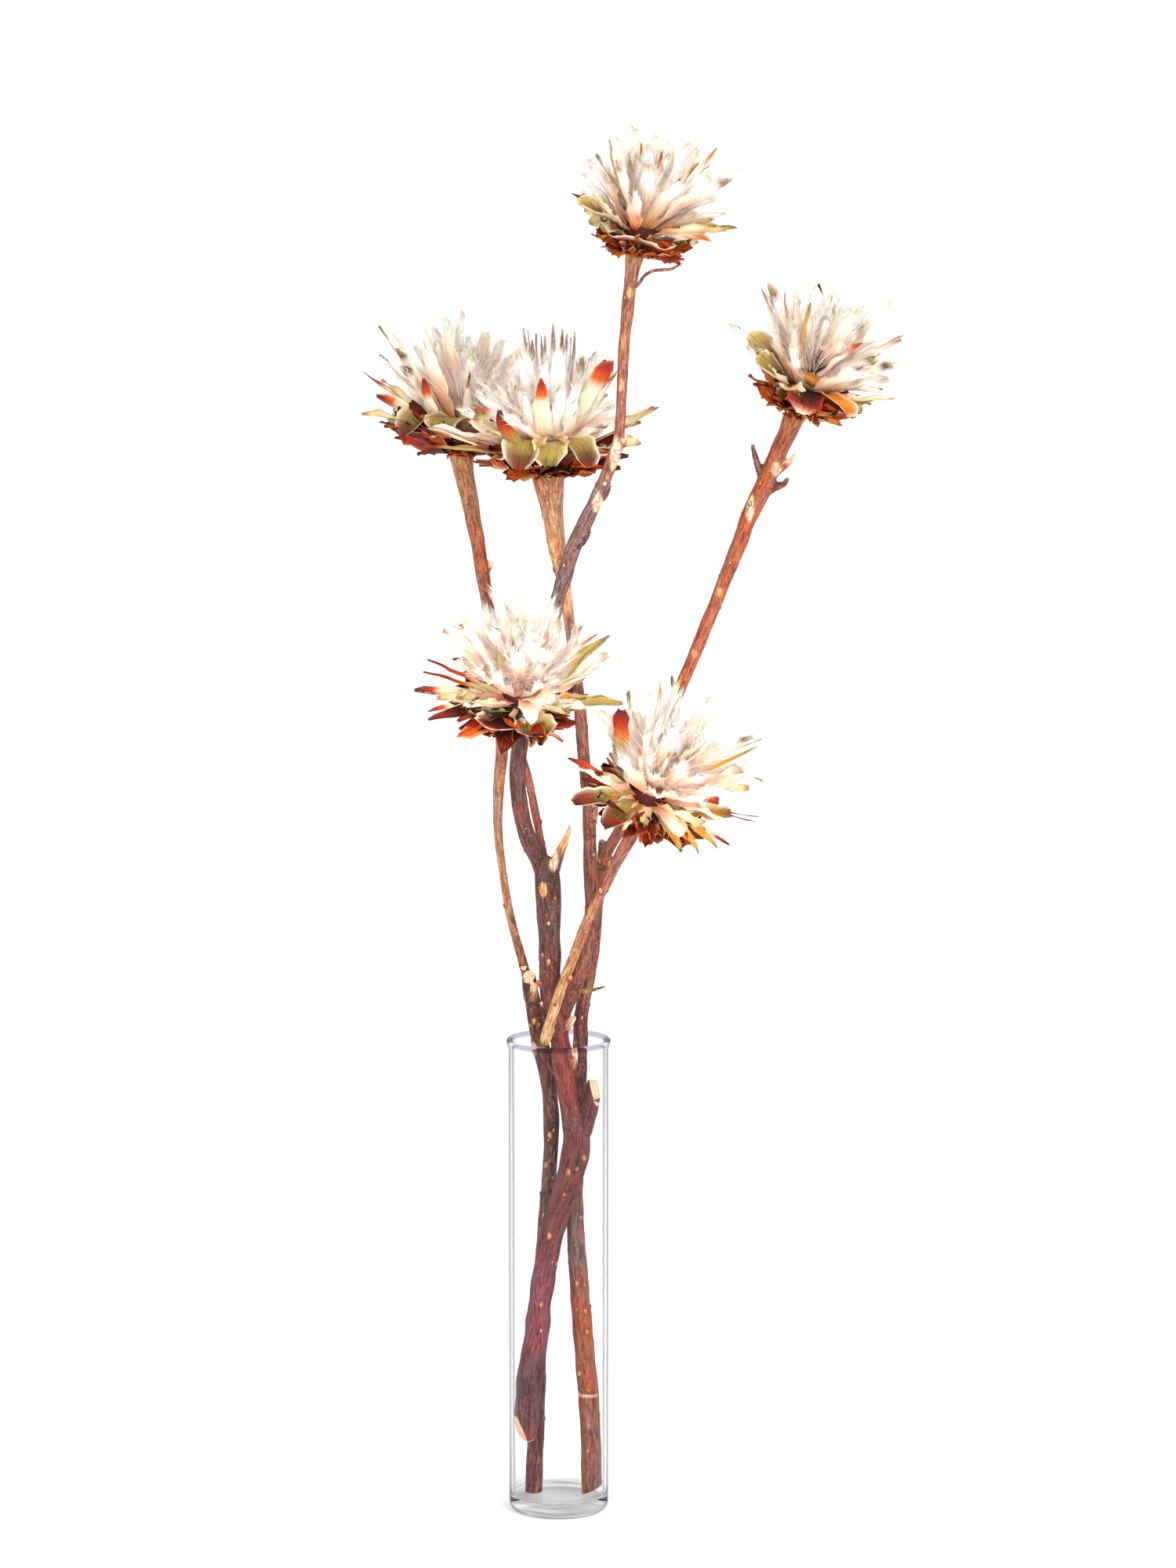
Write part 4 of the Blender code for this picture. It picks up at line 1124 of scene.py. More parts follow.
ROWS = {
    Layer.SCALES: (
        scale_row(Form.CHIP, 0.6, 13, 5.2, 1.0, -7.0, 0.0, 0.5, 9.0, 30.0, 50.0),
        scale_row(Form.CHIP, 0.8, 16, 5.4, 1.7, -3.0, 5.0, 0.68, 9.6, 35.0, 60.0),
        scale_row(Form.CHIP, 1.0, 18, 5.6, 2.4, 2.0, 9.0, 0.84, 10.0, 40.0, 60.0),
        scale_row(Form.CHIP, 1.0, 18, 5.6, 3.2, 6.0, 14.0, 0.94, 10.0, 40.0, 60.0),
        scale_row(Form.SPOON, 1.0, 15, 5.6, 4.1, 11.0, 20.0, 0.86, 10.0, 50.0, 70.0),
    ),
    Layer.BRACTS: (
        Row(9, 5.6, 6.4, 4.0, 20.0, 0.58, 14.0, 105.0, 120.0, Form.SPOON, CUP_PAINTS, 24, 1.6, 0.7,
            CUP_EDGES, 0.8),
        Row(12, 5.2, 8.2, 12.0, 20.0, 0.8, 12.0, 80.0, 110.0, Form.SPOON, BLADE_PAINTS, 50, 2.0, 0.9,
            BLADE_EDGES, 0.75),
        Row(13, 5.0, 10.4, 20.0, 26.0, 1.0, 10.6, 80.0, 140.0, Form.FLAME, BLADE_PAINTS, 80, 2.6, 0.9,
            BLADE_EDGES, 0.78),
    ),
    Layer.SILK: (
        Row(12, 4.4, 12.4, 28.0, 32.0, 0.94, 10.6, 76.0, 150.0, Form.FLAME, SILK_PAINTS, 270, 6.0, 1.1,
            SILK_EDGES, 0.7),
        Row(11, 3.8, 14.8, 42.0, 46.0, 0.95, 10.6, 76.0, 150.0, Form.FLAME, SILK_PAINTS, 270, 6.0, 1.1,
            SILK_EDGES, 0.7),
        Row(10, 3.4, 17.2, 56.0, 60.0, 0.95, 10.6, 76.0, 150.0, Form.FLAME, SILK_PAINTS, 270, 6.4, 1.1,
            SILK_EDGES, 0.7),
        Row(9, 4.2, 14.0, 44.0, 50.0, 1.0, 4.6, 150.0, 200.0, Form.LANCE, SLIVER_PAINTS, 40, 3.0, 0.5,
            ((Hue.AMBER, 0.4), (Hue.UMBER, 0.5)), 0.8),
    ),
    Layer.PLUME: (
        Row(7, 2.6, 19.0, 64.0, 66.0, 0.96, 10.8, 66.0, 130.0, Form.FLAME, PLUME_PAINTS, 300, 6.0, 1.0,
            SILK_EDGES, 0.72),
        Row(6, 1.6, 20.0, 76.0, 78.0, 0.96, 9.6, 66.0, 130.0, Form.FLAME, PLUME_PAINTS, 300, 6.0, 1.0,
            SILK_EDGES, 0.72),
    ),
}

LOFTS = {
    Layer.SCALES: BractLoft(7, 5, 0.3),
    Layer.BRACTS: BractLoft(12, 9, 0.16),
    Layer.SILK: BractLoft(11, 7, 0.16),
    Layer.PLUME: BractLoft(11, 7, 0.16),
}

CORES = {
    Layer.SCALES: (((0.0, 4.6), (8.0, 5.4), (11.0, 3.6), (8.4, 0.2), (0.0, 0.2)), Hue.RUST),
    Layer.BRACTS: (((0.0, 9.4), (7.0, 15.0), (9.0, 12.4), (8.8, 6.0), (0.0, 5.2)), Hue.MAROON),
    Layer.SILK: (((0.0, 12.2), (4.0, 20.4), (5.6, 19.0), (6.0, 14.2), (0.0, 9.8)), Hue.PEACH),
    Layer.PLUME: (((0.0, 24.0), (2.2, 23.0), (3.0, 20.6), (0.0, 14.0)), Hue.PEACH),
}

CORE_SIDES = 24
SHARP_BRACT = 75.0  # degrees between faces from which an edge stays sharp

SILKY = {
    "vein_spacing": 0.85, "blotches": 0.15, "roughness": 0.6, "sheen": 0.1, "relief": 0.3, "glow": 0.8,
    "streak": (1.0, 0.78, 0.6, 1.0),
}

# Each finish has the name of the record's slot
FINISHES = {
    Layer.SCALES: LeafFinish(
        "dry_scale", veins=0.8, vein_spacing=1.3, blotches=0.5, roughness=0.6, sheen=0.0, relief=0.2,
    ),
    Layer.BRACTS: LeafFinish(
        "dry_bract", veins=0.6, vein_spacing=1.4, blotches=0.3, roughness=0.64, sheen=0.0, relief=0.16,
    ),
    Layer.SILK: LeafFinish("silky_bract", veins=0.45, **SILKY),
    Layer.PLUME: LeafFinish("blush_plume", veins=0.55, **SILKY),
}


@dataclass(frozen=True)
class Spread:
    """How far the bracts of a row differ from each other."""

    place: float = 0.45  # share of the gap to the next one
    height: float = 0.4
    rise: float = 7.0
    tip_rise: float = 10.0
    curl: float = 20.0
    sway: float = 17.0
    twist: float = 38.0
    ruffle: float = 0.5
    width: float = 0.32
    roll: float = 0.4
    roll_tip: float = 0.25
    longest: float = 1.07  # share of the usual length


@dataclass(frozen=True)
class Down:
    """The long fine hairs in a head's middle."""

    rises: tuple = (38.0, 66.0, 90.0)  # least, commonest and most
    stray: float = 0.06
    radii: tuple = (0.5, 4.2)
    height: float = 18.0
    shares: tuple = (0.3, 0.78)  # of the plume's reach
    number: float = 5.0  # in the grain


SPREAD = Spread()
DOWN = Down()


def angle_between(first: float, second: float) -> float:
    """Measure the smaller angle between two azimuths."""
    return abs((first - second + 180.0) % 360.0 - 180.0)


def spare(
    paint: Paint, azimuth: float, start: float, end: float, length: float, width: float, **more: object,
) -> Bract:
    """Make a single bract that the photograph shows, from its direction and size."""
    radius, height = more.pop("radius", 5.4), more.pop("height", 8.0)
    return Bract(azimuth, radius, height, start, end, length, width, paint=paint, **more)


def cup(paint: Paint, *sizes: float, **more: object) -> Bract:
    """Make a broad, deeply cupped bract with a pale rim."""
    usual = {"roll": 120.0, "roll_tip": 130.0, "form": Form.SPOON, "edge_share": 0.9}
    usual.update({"hairs": 16, "hair_length": 1.5, **more})
    return spare(paint, *sizes, **usual)


@dataclass(frozen=True)
class Bloom:
    """One opened head: where it sits, how it leans, how far it reaches and what sets it apart."""

    name: str
    base: tuple
    lean_right: float
    lean_front: float
    reaches: dict
    lopsided: float
    lopsided_to: float
    seed: int
    crowded: tuple = ()
    own: dict = field(default_factory=dict)  # single bracts for each layer
    skip: tuple = ()  # layer, azimuth and half width where the rows leave room for single bracts
    paints: dict = field(default_factory=dict)  # paints for a layer's rows in place of the usual ones
    rise_more: float = 0.0  # how much steeper the silk stands than usual
    scale_rise: float = 0.0  # how much steeper the scales stand than usual
    front_rise: float = 14.0  # how much steeper the silk stands in front
    front_scales: float = 1.0  # share of their length that scales have in front
    down: int = 2600  # long fine hairs in the middle

    def axes(self) -> np.ndarray:
        """The head's frame as rows of its own X, Y and Z directions."""
        right, front = math.radians(self.lean_right), math.radians(self.lean_front)
        ahead = math.cos(front)
        axis = Vector((math.sin(right) * ahead, -math.sin(front), math.cos(right) * ahead))
        turn = Vector((0.0, 0.0, 1.0)).rotation_difference(axis).to_matrix()
        return np.array(turn).T

    def reach_share(self, azimuth: float) -> float:
        """Share of the full length that a bract has towards an azimuth.

        Args:
            azimuth: the bract's direction.

        Returns:
            The share.
        """
        share = 1.0 + self.lopsided * math.cos(math.radians(azimuth - self.lopsided_to))
        for centre, half_width, least in self.crowded:
            nearness = max(0.0, 1.0 - angle_between(azimuth, centre) / half_width)
            share *= 1.0 - (1.0 - least) * min(1.0, nearness * 2.0)
        return share

    def has_room(self, layer: Layer, azimuth: float) -> bool:
        """Say whether a row's bract may stand towards an azimuth."""
        kept = [(centre, half) for named, centre, half in self.skip if named is layer]
        return all(angle_between(azimuth, centre) >= half for centre, half in kept)

    def row_bracts(self, layer: Layer, row: Row, draw: np.random.Generator) -> list[Bract]:
        """Lay out one row of bracts.

        Args:
            layer: the layer that the row is in.
            row: the row's numbers.
            draw: the head's own seeded draws.

        Returns:
            The row's bracts, apart from those that stand where single bracts do.
        """
        bracts = []
        offset = draw.uniform(0.0, 360.0)
        for index in range(row.count):
            azimuth = offset + (index + draw.uniform(-SPREAD.place, SPREAD.place)) * 360.0 / row.count
            swing, curl, size, wide, bend = draw.uniform(-1.0, 1.0, 5)
            paints = row.paints if row.paints is SLIVER_PAINTS else self.paints.get(layer, row.paints)
            paint = paints[draw.integers(len(paints))]
            edge, edge_share = row.edges[draw.integers(len(row.edges))]
            sway, twist, ruffle = draw.normal(0.0, (SPREAD.sway, SPREAD.twist, SPREAD.ruffle))
            if not self.has_room(layer, azimuth):
                continue
            front = max(0.0, -math.sin(math.radians(azimuth)))
            steeper = {Layer.SILK: self.rise_more + self.front_rise * front, Layer.SCALES: self.scale_rise}
            more = steeper.get(layer, 0.0)
            full = self.reaches[layer] * row.share * self.reach_share(azimuth)
            if layer is Layer.SCALES:
                full *= 1.0 - (1.0 - self.front_scales) * front
            middle, half = (row.shortest + SPREAD.longest) / 2, (SPREAD.longest - row.shortest) / 2
            length = (full - row.radius * math.cos(math.radians(row.rise_start))) * (middle + half * size)
            rise_start = row.rise_start + SPREAD.rise * swing + more
            rise_end = row.rise_end + SPREAD.tip_rise * swing + SPREAD.curl * curl + more
            roll = row.roll * (1.0 + SPREAD.roll * bend)
            roll_tip = row.roll_tip * (1.0 + SPREAD.roll_tip * bend)
            width = row.width * (1.0 + SPREAD.width * wide)
            bracts.append(Bract(
                azimuth, row.radius, row.height + SPREAD.height * wide, rise_start, rise_end, length,
                width, roll, roll_tip, twist, sway, row.ruffle + abs(ruffle),
                row.hairs, row.hair_length, row.form, paint, edge, edge_share,
            ))
        return bracts

    def add_core(self, weave: Weave, layer: Layer) -> None:
        """Add the small turned core that a layer's bracts grow from.

        Args:
            weave: where the shell goes.
            layer: which layer.
        """
        outline, hue = CORES[layer]
        turns = np.arange(CORE_SIDES) * math.tau / CORE_SIDES
        ring = np.stack([np.cos(turns), np.sin(turns), np.zeros(CORE_SIDES)], axis=-1)
        rings = [ring * radius + UP * height for radius, height in outline[1:-1]]
        ends = UP * np.array([[outline[0][1]], [outline[-1][1]]])
        points = np.concatenate([*rings, ends])
        weave.add(points, capped_tube(len(rings), CORE_SIDES)[:, ::-1], hue.linear, points)

    def add_down(self, weave: Weave, loft: BractLoft, draw: np.random.Generator) -> None:
        """Fill the middle with long fine hairs that fan out.

        Args:
            weave: where the hairs go.
            loft: what makes them.
            draw: the head's own seeded draws.
        """
        count = self.down
        turn = draw.uniform(0.0, math.tau, count)
        rise = np.radians(draw.triangular(*DOWN.rises, count))
        flat = np.stack([np.cos(turn), np.sin(turn), np.zeros(count)], axis=-1)
        stray = draw.normal(0.0, DOWN.stray, (count, 3))
        aim = unit(flat * np.cos(rise)[:, None] + UP * np.sin(rise)[:, None] + stray)
        root = flat * draw.uniform(*DOWN.radii, count)[:, None] + UP * DOWN.height
        length = self.reaches[Layer.PLUME] * draw.uniform(*DOWN.shares, count)[:, None]
        tints = (Hue.PEACH.linear, Hue.BLUSH.linear, Hue.WHITE.linear)
        loft.add_curved_hairs(weave, root, aim, flat, length, tints, DOWN.number)

    def build(self, layer: Layer, material: bpy.types.Material) -> bpy.types.Object:
        """Build one layer of the head as a piece.

        Args:
            layer: which layer.
            material: its finish.

        Returns:
            The piece.
        """
        draw = np.random.default_rng([self.seed, list(Layer).index(layer)])
        weave = Weave()
        self.add_core(weave, layer)
        loft = LOFTS[layer]
        for row in ROWS[layer]:
            for bract in self.row_bracts(layer, row, draw):
                loft.add_to(weave, bract, draw)
        for bract in self.own.get(layer, ()):
            loft.add_to(weave, bract, draw)
        if layer is Layer.PLUME:
            self.add_down(weave, loft, draw)
        axes = self.axes()
        weave.points = [points @ axes + np.array(self.base) for points in weave.points]
        node = f"bloom_{self.name}_{layer.value}"
        mesh = weave.mesh(f"fine_{node}", SHARP_BRACT)
        mesh.materials.append(material)
        return place_piece(f"fine_{node}", mesh, node)


def reaches(scales: float, bracts: float, silk: float, plume: float) -> dict:
    """Name how far each layer reaches from the head's axis."""
    return dict(zip(Layer, (scales, bracts, silk, plume)))


BLOOMS = (
    Bloom(
        "top", (38.6, -28.2, 655.2), 14.0, 8.0, reaches(29.0, 45.0, 52.0, 39.0), 0.08, 0.0, 11,
        own={
            Layer.BRACTS: (
                spare(Paint.LONG_RED_TIP, 182.0, 26.0, 18.0, 35.0, 12.0, height=9.0, roll=90.0,
                      roll_tip=60.0),
                # Painted shade: these two cups' black hollows stand for the shade under the silk
                cup(Paint.PAINTED_SHADE_CUP, -118.0, -6.0, 22.0, 26.0, 19.0, height=8.0, roll=90.0, roll_tip=90.0),
                cup(Paint.PAINTED_SHADE_CUP, -68.0, -6.0, 22.0, 27.0, 21.0, height=8.0, roll=90.0, roll_tip=90.0),
                cup(Paint.OLIVE_BOWL, -150.0, 22.0, 14.0, 36.0, 17.0, height=10.0, twist=-30.0),
                cup(Paint.AMBER_TIP, -38.0, 20.0, 8.0, 38.0, 16.0, height=10.0, roll=60.0, roll_tip=50.0),
                spare(Paint.OLIVE_BLADE, -6.0, 22.0, 20.0, 44.0, 11.0, height=10.0),
                spare(Paint.SILK_BLUSH, -112.0, 44.0, 84.0, 24.0, 9.0, radius=9.0, height=13.0, hairs=60,
                      roll=90.0, ruffle=1.6),
            ),
        },
        skip=((Layer.BRACTS, -92.0, 40.0),),
        paints={Layer.SCALES: WARM_SCALES}, rise_more=2.0, scale_rise=6.0, front_rise=30.0,
    ),
    Bloom(
        "right", (122.0, 5.8, 574.2), 20.0, 14.0, reaches(33.0, 47.0, 58.0, 48.0), 0.03, 0.0, 23,
        own={
            Layer.BRACTS: (
                cup(Paint.AMBER_CUP, -50.0, 34.0, -30.0, 33.0, 16.0, height=12.0, roll=50.0, roll_tip=50.0),
                cup(Paint.PAINTED_SHADE_CUP, -92.0, 44.0, -58.0, 30.0, 20.0, height=10.0, edge=Hue.RED, roll=80.0,
                    roll_tip=50.0, ruffle=1.6),
                cup(Paint.OLIVE_CUP, -116.0, 14.0, 0.0, 24.0, 15.0),
                cup(Paint.OLIVE_BOWL, 176.0, 36.0, 30.0, 38.0, 19.0, twist=-50.0),
                cup(Paint.OLIVE_BOWL, -150.0, 32.0, 20.0, 34.0, 19.0, twist=-40.0),
                spare(Paint.CREAM_BLADE, -128.0, 20.0, 30.0, 24.0, 9.0, hairs=20),
            ),
            Layer.SILK: (
                cup(Paint.AMBER_CUP, -92.0, 46.0, 84.0, 8.0, 17.0, radius=10.0, height=18.0, roll=90.0,
                    roll_tip=60.0, ruffle=2.0),
                # Painted shade: a dark cup that stands for the shaded hole in the head
                cup(Paint.PAINTED_SHADE_CUP, -94.0, 56.0, 88.0, 22.0, 12.0, radius=7.0, height=20.0, roll=80.0,
                    roll_tip=60.0),
            ),
        },
        skip=((Layer.BRACTS, -66.0, 38.0), (Layer.BRACTS, -170.0, 24.0), (Layer.SILK, -93.0, 9.0)),
        paints={Layer.SCALES: WARM_SCALES}, scale_rise=12.0,
    ),
    Bloom(
        "far_left", (-51.4, 85.0, 545.6), 4.0, 0.0, reaches(46.0, 54.0, 64.0, 54.0), 0.08, 180.0, 37,
        ((-55.0, 45.0, 0.66),),
        own={
            Layer.BRACTS: (
                spare(Paint.RED_TIP, 176.0, 32.0, 34.0, 58.0, 7.0, roll=110.0),
                cup(Paint.RED_TIP, -172.0, 26.0, 26.0, 46.0, 13.0, roll=70.0, hairs=0, twist=40.0),
                spare(Paint.RED_TIP, -132.0, 24.0, 80.0, 44.0, 11.0, roll=60.0, roll_tip=60.0),
                spare(Paint.RED_TIP, -84.0, 54.0, 88.0, 40.0, 5.0),
                cup(Paint.OLIVE_CUP, -140.0, 50.0, -66.0, 40.0, 27.0, height=11.0, roll=70.0, roll_tip=90.0,
                    ruffle=1.4),
                cup(Paint.STRAW_BLADE, -108.0, 52.0, -62.0, 36.0, 22.0, height=12.0, roll=60.0,
                    roll_tip=80.0),
                cup(Paint.SILK_BROWN, -158.0, 46.0, 54.0, 54.0, 14.0, height=13.0, roll=70.0, hairs=60),
                cup(Paint.SILK_BLUSH, -134.0, 52.0, 62.0, 50.0, 14.0, height=13.0, roll=70.0, hairs=60),
                spare(Paint.RED_TIP, -118.0, 8.0, 0.0, 38.0, 8.0, roll=90.0),
            ),
        },
        skip=((Layer.BRACTS, -116.0, 44.0), (Layer.SILK, -124.0, 30.0)),
        paints={Layer.SILK: BLUSH_PAINTS}, scale_rise=12.0,
    ),
    Bloom(
        "centre", (-5.1, 20.0, 541.2), 0.0, 7.0, reaches(49.0, 58.0, 54.0, 52.0), 0.0, 0.0, 41,
        ((125.0, 45.0, 0.7),),
        own={
            Layer.BRACTS: (
                cup(Paint.OLIVE_CUP, -116.0, 48.0, -74.0, 38.0, 23.0, height=13.0, roll=70.0, roll_tip=90.0,
                    ruffle=1.3, sway=6.0),
                cup(Paint.STRAW_BLADE, -86.0, 50.0, -70.0, 35.0, 21.0, height=13.0, roll=70.0, roll_tip=90.0,
                    ruffle=1.5, sway=-8.0),
                cup(Paint.OLIVE_CUP, -56.0, 48.0, -70.0, 38.0, 20.0, height=13.0, roll=70.0, roll_tip=90.0),
                spare(Paint.FLAME_TIP, -130.0, 4.0, 80.0, 46.0, 16.0, height=12.0, roll=40.0, roll_tip=50.0),
                cup(Paint.RED_TIP, 178.0, 10.0, 20.0, 58.0, 12.0, roll=70.0),
                cup(Paint.CREAM_BLADE, 22.0, 18.0, 26.0, 60.0, 13.0, roll=60.0, roll_tip=60.0),
                spare(Paint.OLIVE_BLADE, -160.0, 12.0, 8.0, 56.0, 10.0),
            ),
            Layer.SILK: (
                spare(Paint.RED_TIP, -97.0, 44.0, 88.0, 45.0, 11.0, radius=8.0, height=15.0, roll=50.0,
                      roll_tip=60.0, hairs=90, ruffle=1.4),
                spare(Paint.RED_TIP, -24.0, 46.0, 74.0, 56.0, 15.0, height=14.0, roll=50.0, twist=-50.0,
                      form=Form.SPOON, hairs=60),
                *(
                    spare(Paint.SILK, angle, 50.0, 84.0, 38.0 + 3 * step, 12.0, radius=8.0, height=13.0,
                          hairs=220, hair_length=5.0, roll=60.0)
                    for step, angle in enumerate((-122.0, -74.0, -56.0))
                ),
            ),
            # The tuft: fifteen ribbons whose silver-grey is painted shade
            Layer.PLUME: tuple(
                spare(Paint.PAINTED_SHADE_RIBBON, step * 26.0, 78.0, 88.0, 50.0 + step % 4 * 2.0, 3.4,
                      radius=3.0 + step % 5, height=20.0, form=Form.RIBBON, hairs=50, twist=40.0, sway=6.0)
                for step in range(15)
            ),
        },
        skip=((Layer.BRACTS, -86.0, 44.0), (Layer.SILK, -88.0, 22.0)),
        rise_more=-8.0, scale_rise=6.0, front_scales=0.6, front_rise=24.0, down=500,
    ),
    Bloom(
        "lower_left", (-19.4, -41.4, 424.8), 4.0, 26.0, reaches(42.0, 52.0, 51.0, 41.0), 0.0, 0.0, 53,
        ((-24.0, 30.0, 0.84),),
        own={
            Layer.BRACTS: (
                spare(Paint.STRAW_BLADE, 10.0, 42.0, 47.0, 53.0, 14.0, hairs=50, roll_tip=170.0),
                spare(Paint.OLIVE_BLADE, -5.0, 7.0, 4.0, 48.0, 13.0, hairs=50),
                spare(Paint.LONG_RED_TIP, 168.0, 20.0, 18.0, 46.0, 4.4, roll=50.0, roll_tip=50.0),
                spare(Paint.LONG_RED_TIP, 174.0, 16.0, 11.0, 46.0, 4.2, roll=50.0, roll_tip=50.0),
                spare(Paint.RED_TIP, -174.0, 10.0, 2.0, 48.0, 11.0, roll=80.0, form=Form.FLAME, hairs=60),
                spare(Paint.RED_TIP, -164.0, 4.0, -8.0, 42.0, 6.0, roll=80.0, hairs=30),
                spare(Paint.DARK_SCALE, -156.0, 4.0, -10.0, 44.0, 11.0, roll=60.0, roll_tip=50.0),
                cup(Paint.PAINTED_SHADE_CUP, -112.0, -6.0, 24.0, 32.0, 26.0, roll=90.0, roll_tip=50.0),
                cup(Paint.OLIVE_CUP, -74.0, -8.0, 20.0, 32.0, 24.0, roll=90.0, roll_tip=50.0),
                cup(Paint.BLUSH_RIB, -78.0, 34.0, -30.0, 26.0, 11.0, height=12.0, roll=70.0, hairs=60),
            ),
        },
        skip=((Layer.BRACTS, -92.0, 32.0), (Layer.BRACTS, 175.0, 24.0)),
        paints={Layer.SILK: BLUSH_PAINTS}, down=3600,
    ),
    Bloom(
        "lower_right", (42.8, -45.2, 377.0), 20.0, 28.0, reaches(39.0, 50.0, 55.0, 47.0), 0.06, 0.0, 67,
        own={
            Layer.BRACTS: (
                spare(Paint.FLAME_TIP, -172.0, 56.0, 82.0, 54.0, 10.0, radius=9.0, hairs=60, roll=50.0,
                      roll_tip=60.0, twist=85.0, form=Form.SPOON),
                spare(Paint.DARK_SCALE, 178.0, 42.0, 56.0, 32.0, 10.0, hairs=20, roll=90.0),
                spare(Paint.LONG_RED_TIP, 182.0, 13.0, 16.0, 41.0, 8.0, roll=60.0, roll_tip=60.0),
                *(
                    spare(Paint.GOLD_BLADE, angle, 8.0, -14.0, 40.0 - 2 * step, 8.0, hairs=30)
                    for step, angle in enumerate((-30.0, -46.0, -60.0))
                ),
                spare(Paint.RED_TIP, -20.0, 0.0, -6.0, 43.0, 6.0),
                cup(Paint.RUST_CUP, -146.0, 8.0, -6.0, 40.0, 15.0),
                cup(Paint.RUST_CUP, -122.0, 4.0, -18.0, 32.0, 16.0),
                spare(Paint.STRAW_BLADE, -88.0, 4.0, -60.0, 24.0, 6.0, twist=60.0, hairs=20),
                spare(Paint.CREAM_BLADE, -112.0, 4.0, -50.0, 22.0, 6.0, twist=-60.0, hairs=20),
                spare(Paint.BROWN_THREAD, -22.0, 24.0, 26.0, 56.0, 1.4, form=Form.THREAD),
                spare(Paint.BROWN_THREAD, -18.0, 22.0, 20.0, 54.0, 1.2, form=Form.THREAD, sway=-8.0),
            ),
            Layer.SILK: (spare(Paint.SILK_AMBER, 104.0, 72.0, 84.0, 60.0, 3.0, height=16.0),),
        },
        skip=((Layer.BRACTS, -100.0, 30.0), (Layer.BRACTS, 170.0, 24.0), (Layer.SILK, -176.0, 24.0)),
        paints={Layer.SILK: BLUSH_PAINTS}, down=3600,
    ),
)


SIDE_HINT = (0.31, -0.95, 0.05)  # a way that no limb runs, which its rings start from
CHUNK = 20000  # points that are read at once
BLOCK_REACH = 0.75  # how far a sawn face reaches from its middle, as a share of its block's size
SHARP_BARK = 55.0  # degrees between faces from which an edge stays sharp


class Route:
    """A smooth curve through a limb's points, with the ways ahead and across at each place."""

    def __init__(self, points: tuple, spacing: float) -> None:
        """Follow a limb's points.

        Args:
            points: the limb's points, as x, y, z and radius.
            spacing: how far apart the places are, about.
        """
        places = self.smoothed([np.array(point, float) for point in points], spacing)
        self.centre, self.radius = places[:, :3], places[:, 3]
        self.ahead = unit(np.gradient(self.centre, axis=0))
        self.first = unit(np.cross(self.ahead, np.broadcast_to(SIDE_HINT, self.ahead.shape)))
        self.second = np.cross(self.ahead, self.first)

    @staticmethod
    def smoothed(knots: list[np.ndarray], spacing: float) -> np.ndarray:
        """List places along the curve through the knots.

        Args:
            knots: the points that it passes.
            spacing: how far apart the places are, about.

        Returns:
            The places, as x, y, z and radius.
        """
        places = [knots[0]]
        for index in range(len(knots) - 1):
            start, end = knots[index], knots[index + 1]
            before = knots[index - 1] if index else start * 2 - end
            after = knots[index + 2] if index + 2 < len(knots) else end * 2 - start
            steps = max(1, round(float(np.linalg.norm(end[:3] - start[:3])) / spacing))
            for step in range(1, steps + 1):
                t = step / steps
                cubic = (
                    start * 2 + (end - before) * t
                    + (before * 2 - start * 5 + end * 4 - after) * t**2
                    + (start * 3 - before - end * 3 + after) * t**3
                )
                places.append(cubic / 2)
        return np.array(places)

    def tube(self, sides: int) -> tuple:
        """Sweep a ring along the route.

        Args:
            sides: how many corners a ring has.

        Returns:
            The closed tube's corners and triangles.
        """
        turns = np.arange(sides) * math.tau / sides
        across, up = np.cos(turns)[None, :, None], np.sin(turns)[None, :, None]
        ring = self.first[:, None, :] * across + self.second[:, None, :] * up
        points = (self.centre[:, None, :] + ring * self.radius[:, None, None]).reshape(-1, 3)
        points = np.concatenate([points, self.centre[:1], self.centre[-1:]])
        return points, capped_tube(len(self.centre), sides)


@dataclass(frozen=True)
class Limb:
    """A limb's route, from its root to its end, and the colours along it."""

    points: tuple  # x, y, z and radius
    hues: tuple  # share of the length and hue
    thin: bool = False  # too thin to be melted into the others, so it keeps its own tube


@dataclass(frozen=True)
class Cut:
    """A sawn end: a place on it, the way it faces and the size of the block that trims it."""

    place: tuple
    facing: tuple
    size: float
    pale: bool = True

    @property
    def way(self) -> Vector:
        """The way it faces, of length one."""
        return Vector(self.facing).normalized()

    def holds(self, points: np.ndarray, slack: float) -> np.ndarray:
        """Say which points lie within a slack of the sawn face.

        Args:
            points: places on the bark.
            slack: how near the face they have to be.

        Returns:
            True or False for each.
        """
        gap = points - np.array(self.place)
        near = np.linalg.norm(gap, axis=1) < self.size * BLOCK_REACH
        return (np.abs(gap @ np.array(self.way)) < slack) & near

    def block(self) -> bpy.types.Object:
        """Make the block that trims the end."""
        bm = bmesh.new()
        bmesh.ops.create_cube(bm, size=self.size * MM)
        mesh = bpy.data.meshes.new("block")
        bm.to_mesh(mesh)
        bm.free()
        block = bpy.data.objects.new("block", mesh)
        block.location = (Vector(self.place) + self.way * self.size / 2) * MM
        block.rotation_euler = self.way.to_track_quat("Z", "Y").to_euler()
        bpy.context.scene.collection.objects.link(block)
        return block


@dataclass(frozen=True)
class Scar:
    """A pale patch where bark is torn: its middle, how far it reaches along and across the limb."""

    place: tuple
    length: float
    width: float
    hue: Hue = Hue.WOOD

    def cover(self, points: np.ndarray) -> np.ndarray:
        """Say how much of the bark is torn at each point, from 0 to 1.

        Args:
            points: places on the bark.

        Returns:
            A share for each.
        """
        gap = points - np.array(self.place)
        across = np.linalg.norm(gap[:, :2], axis=1) / self.width
        share = np.sqrt((gap[:, 2] / self.length) ** 2 + across**2)
        return np.clip((1.0 - share) * 3.0, 0.0, 1.0)[:, None]


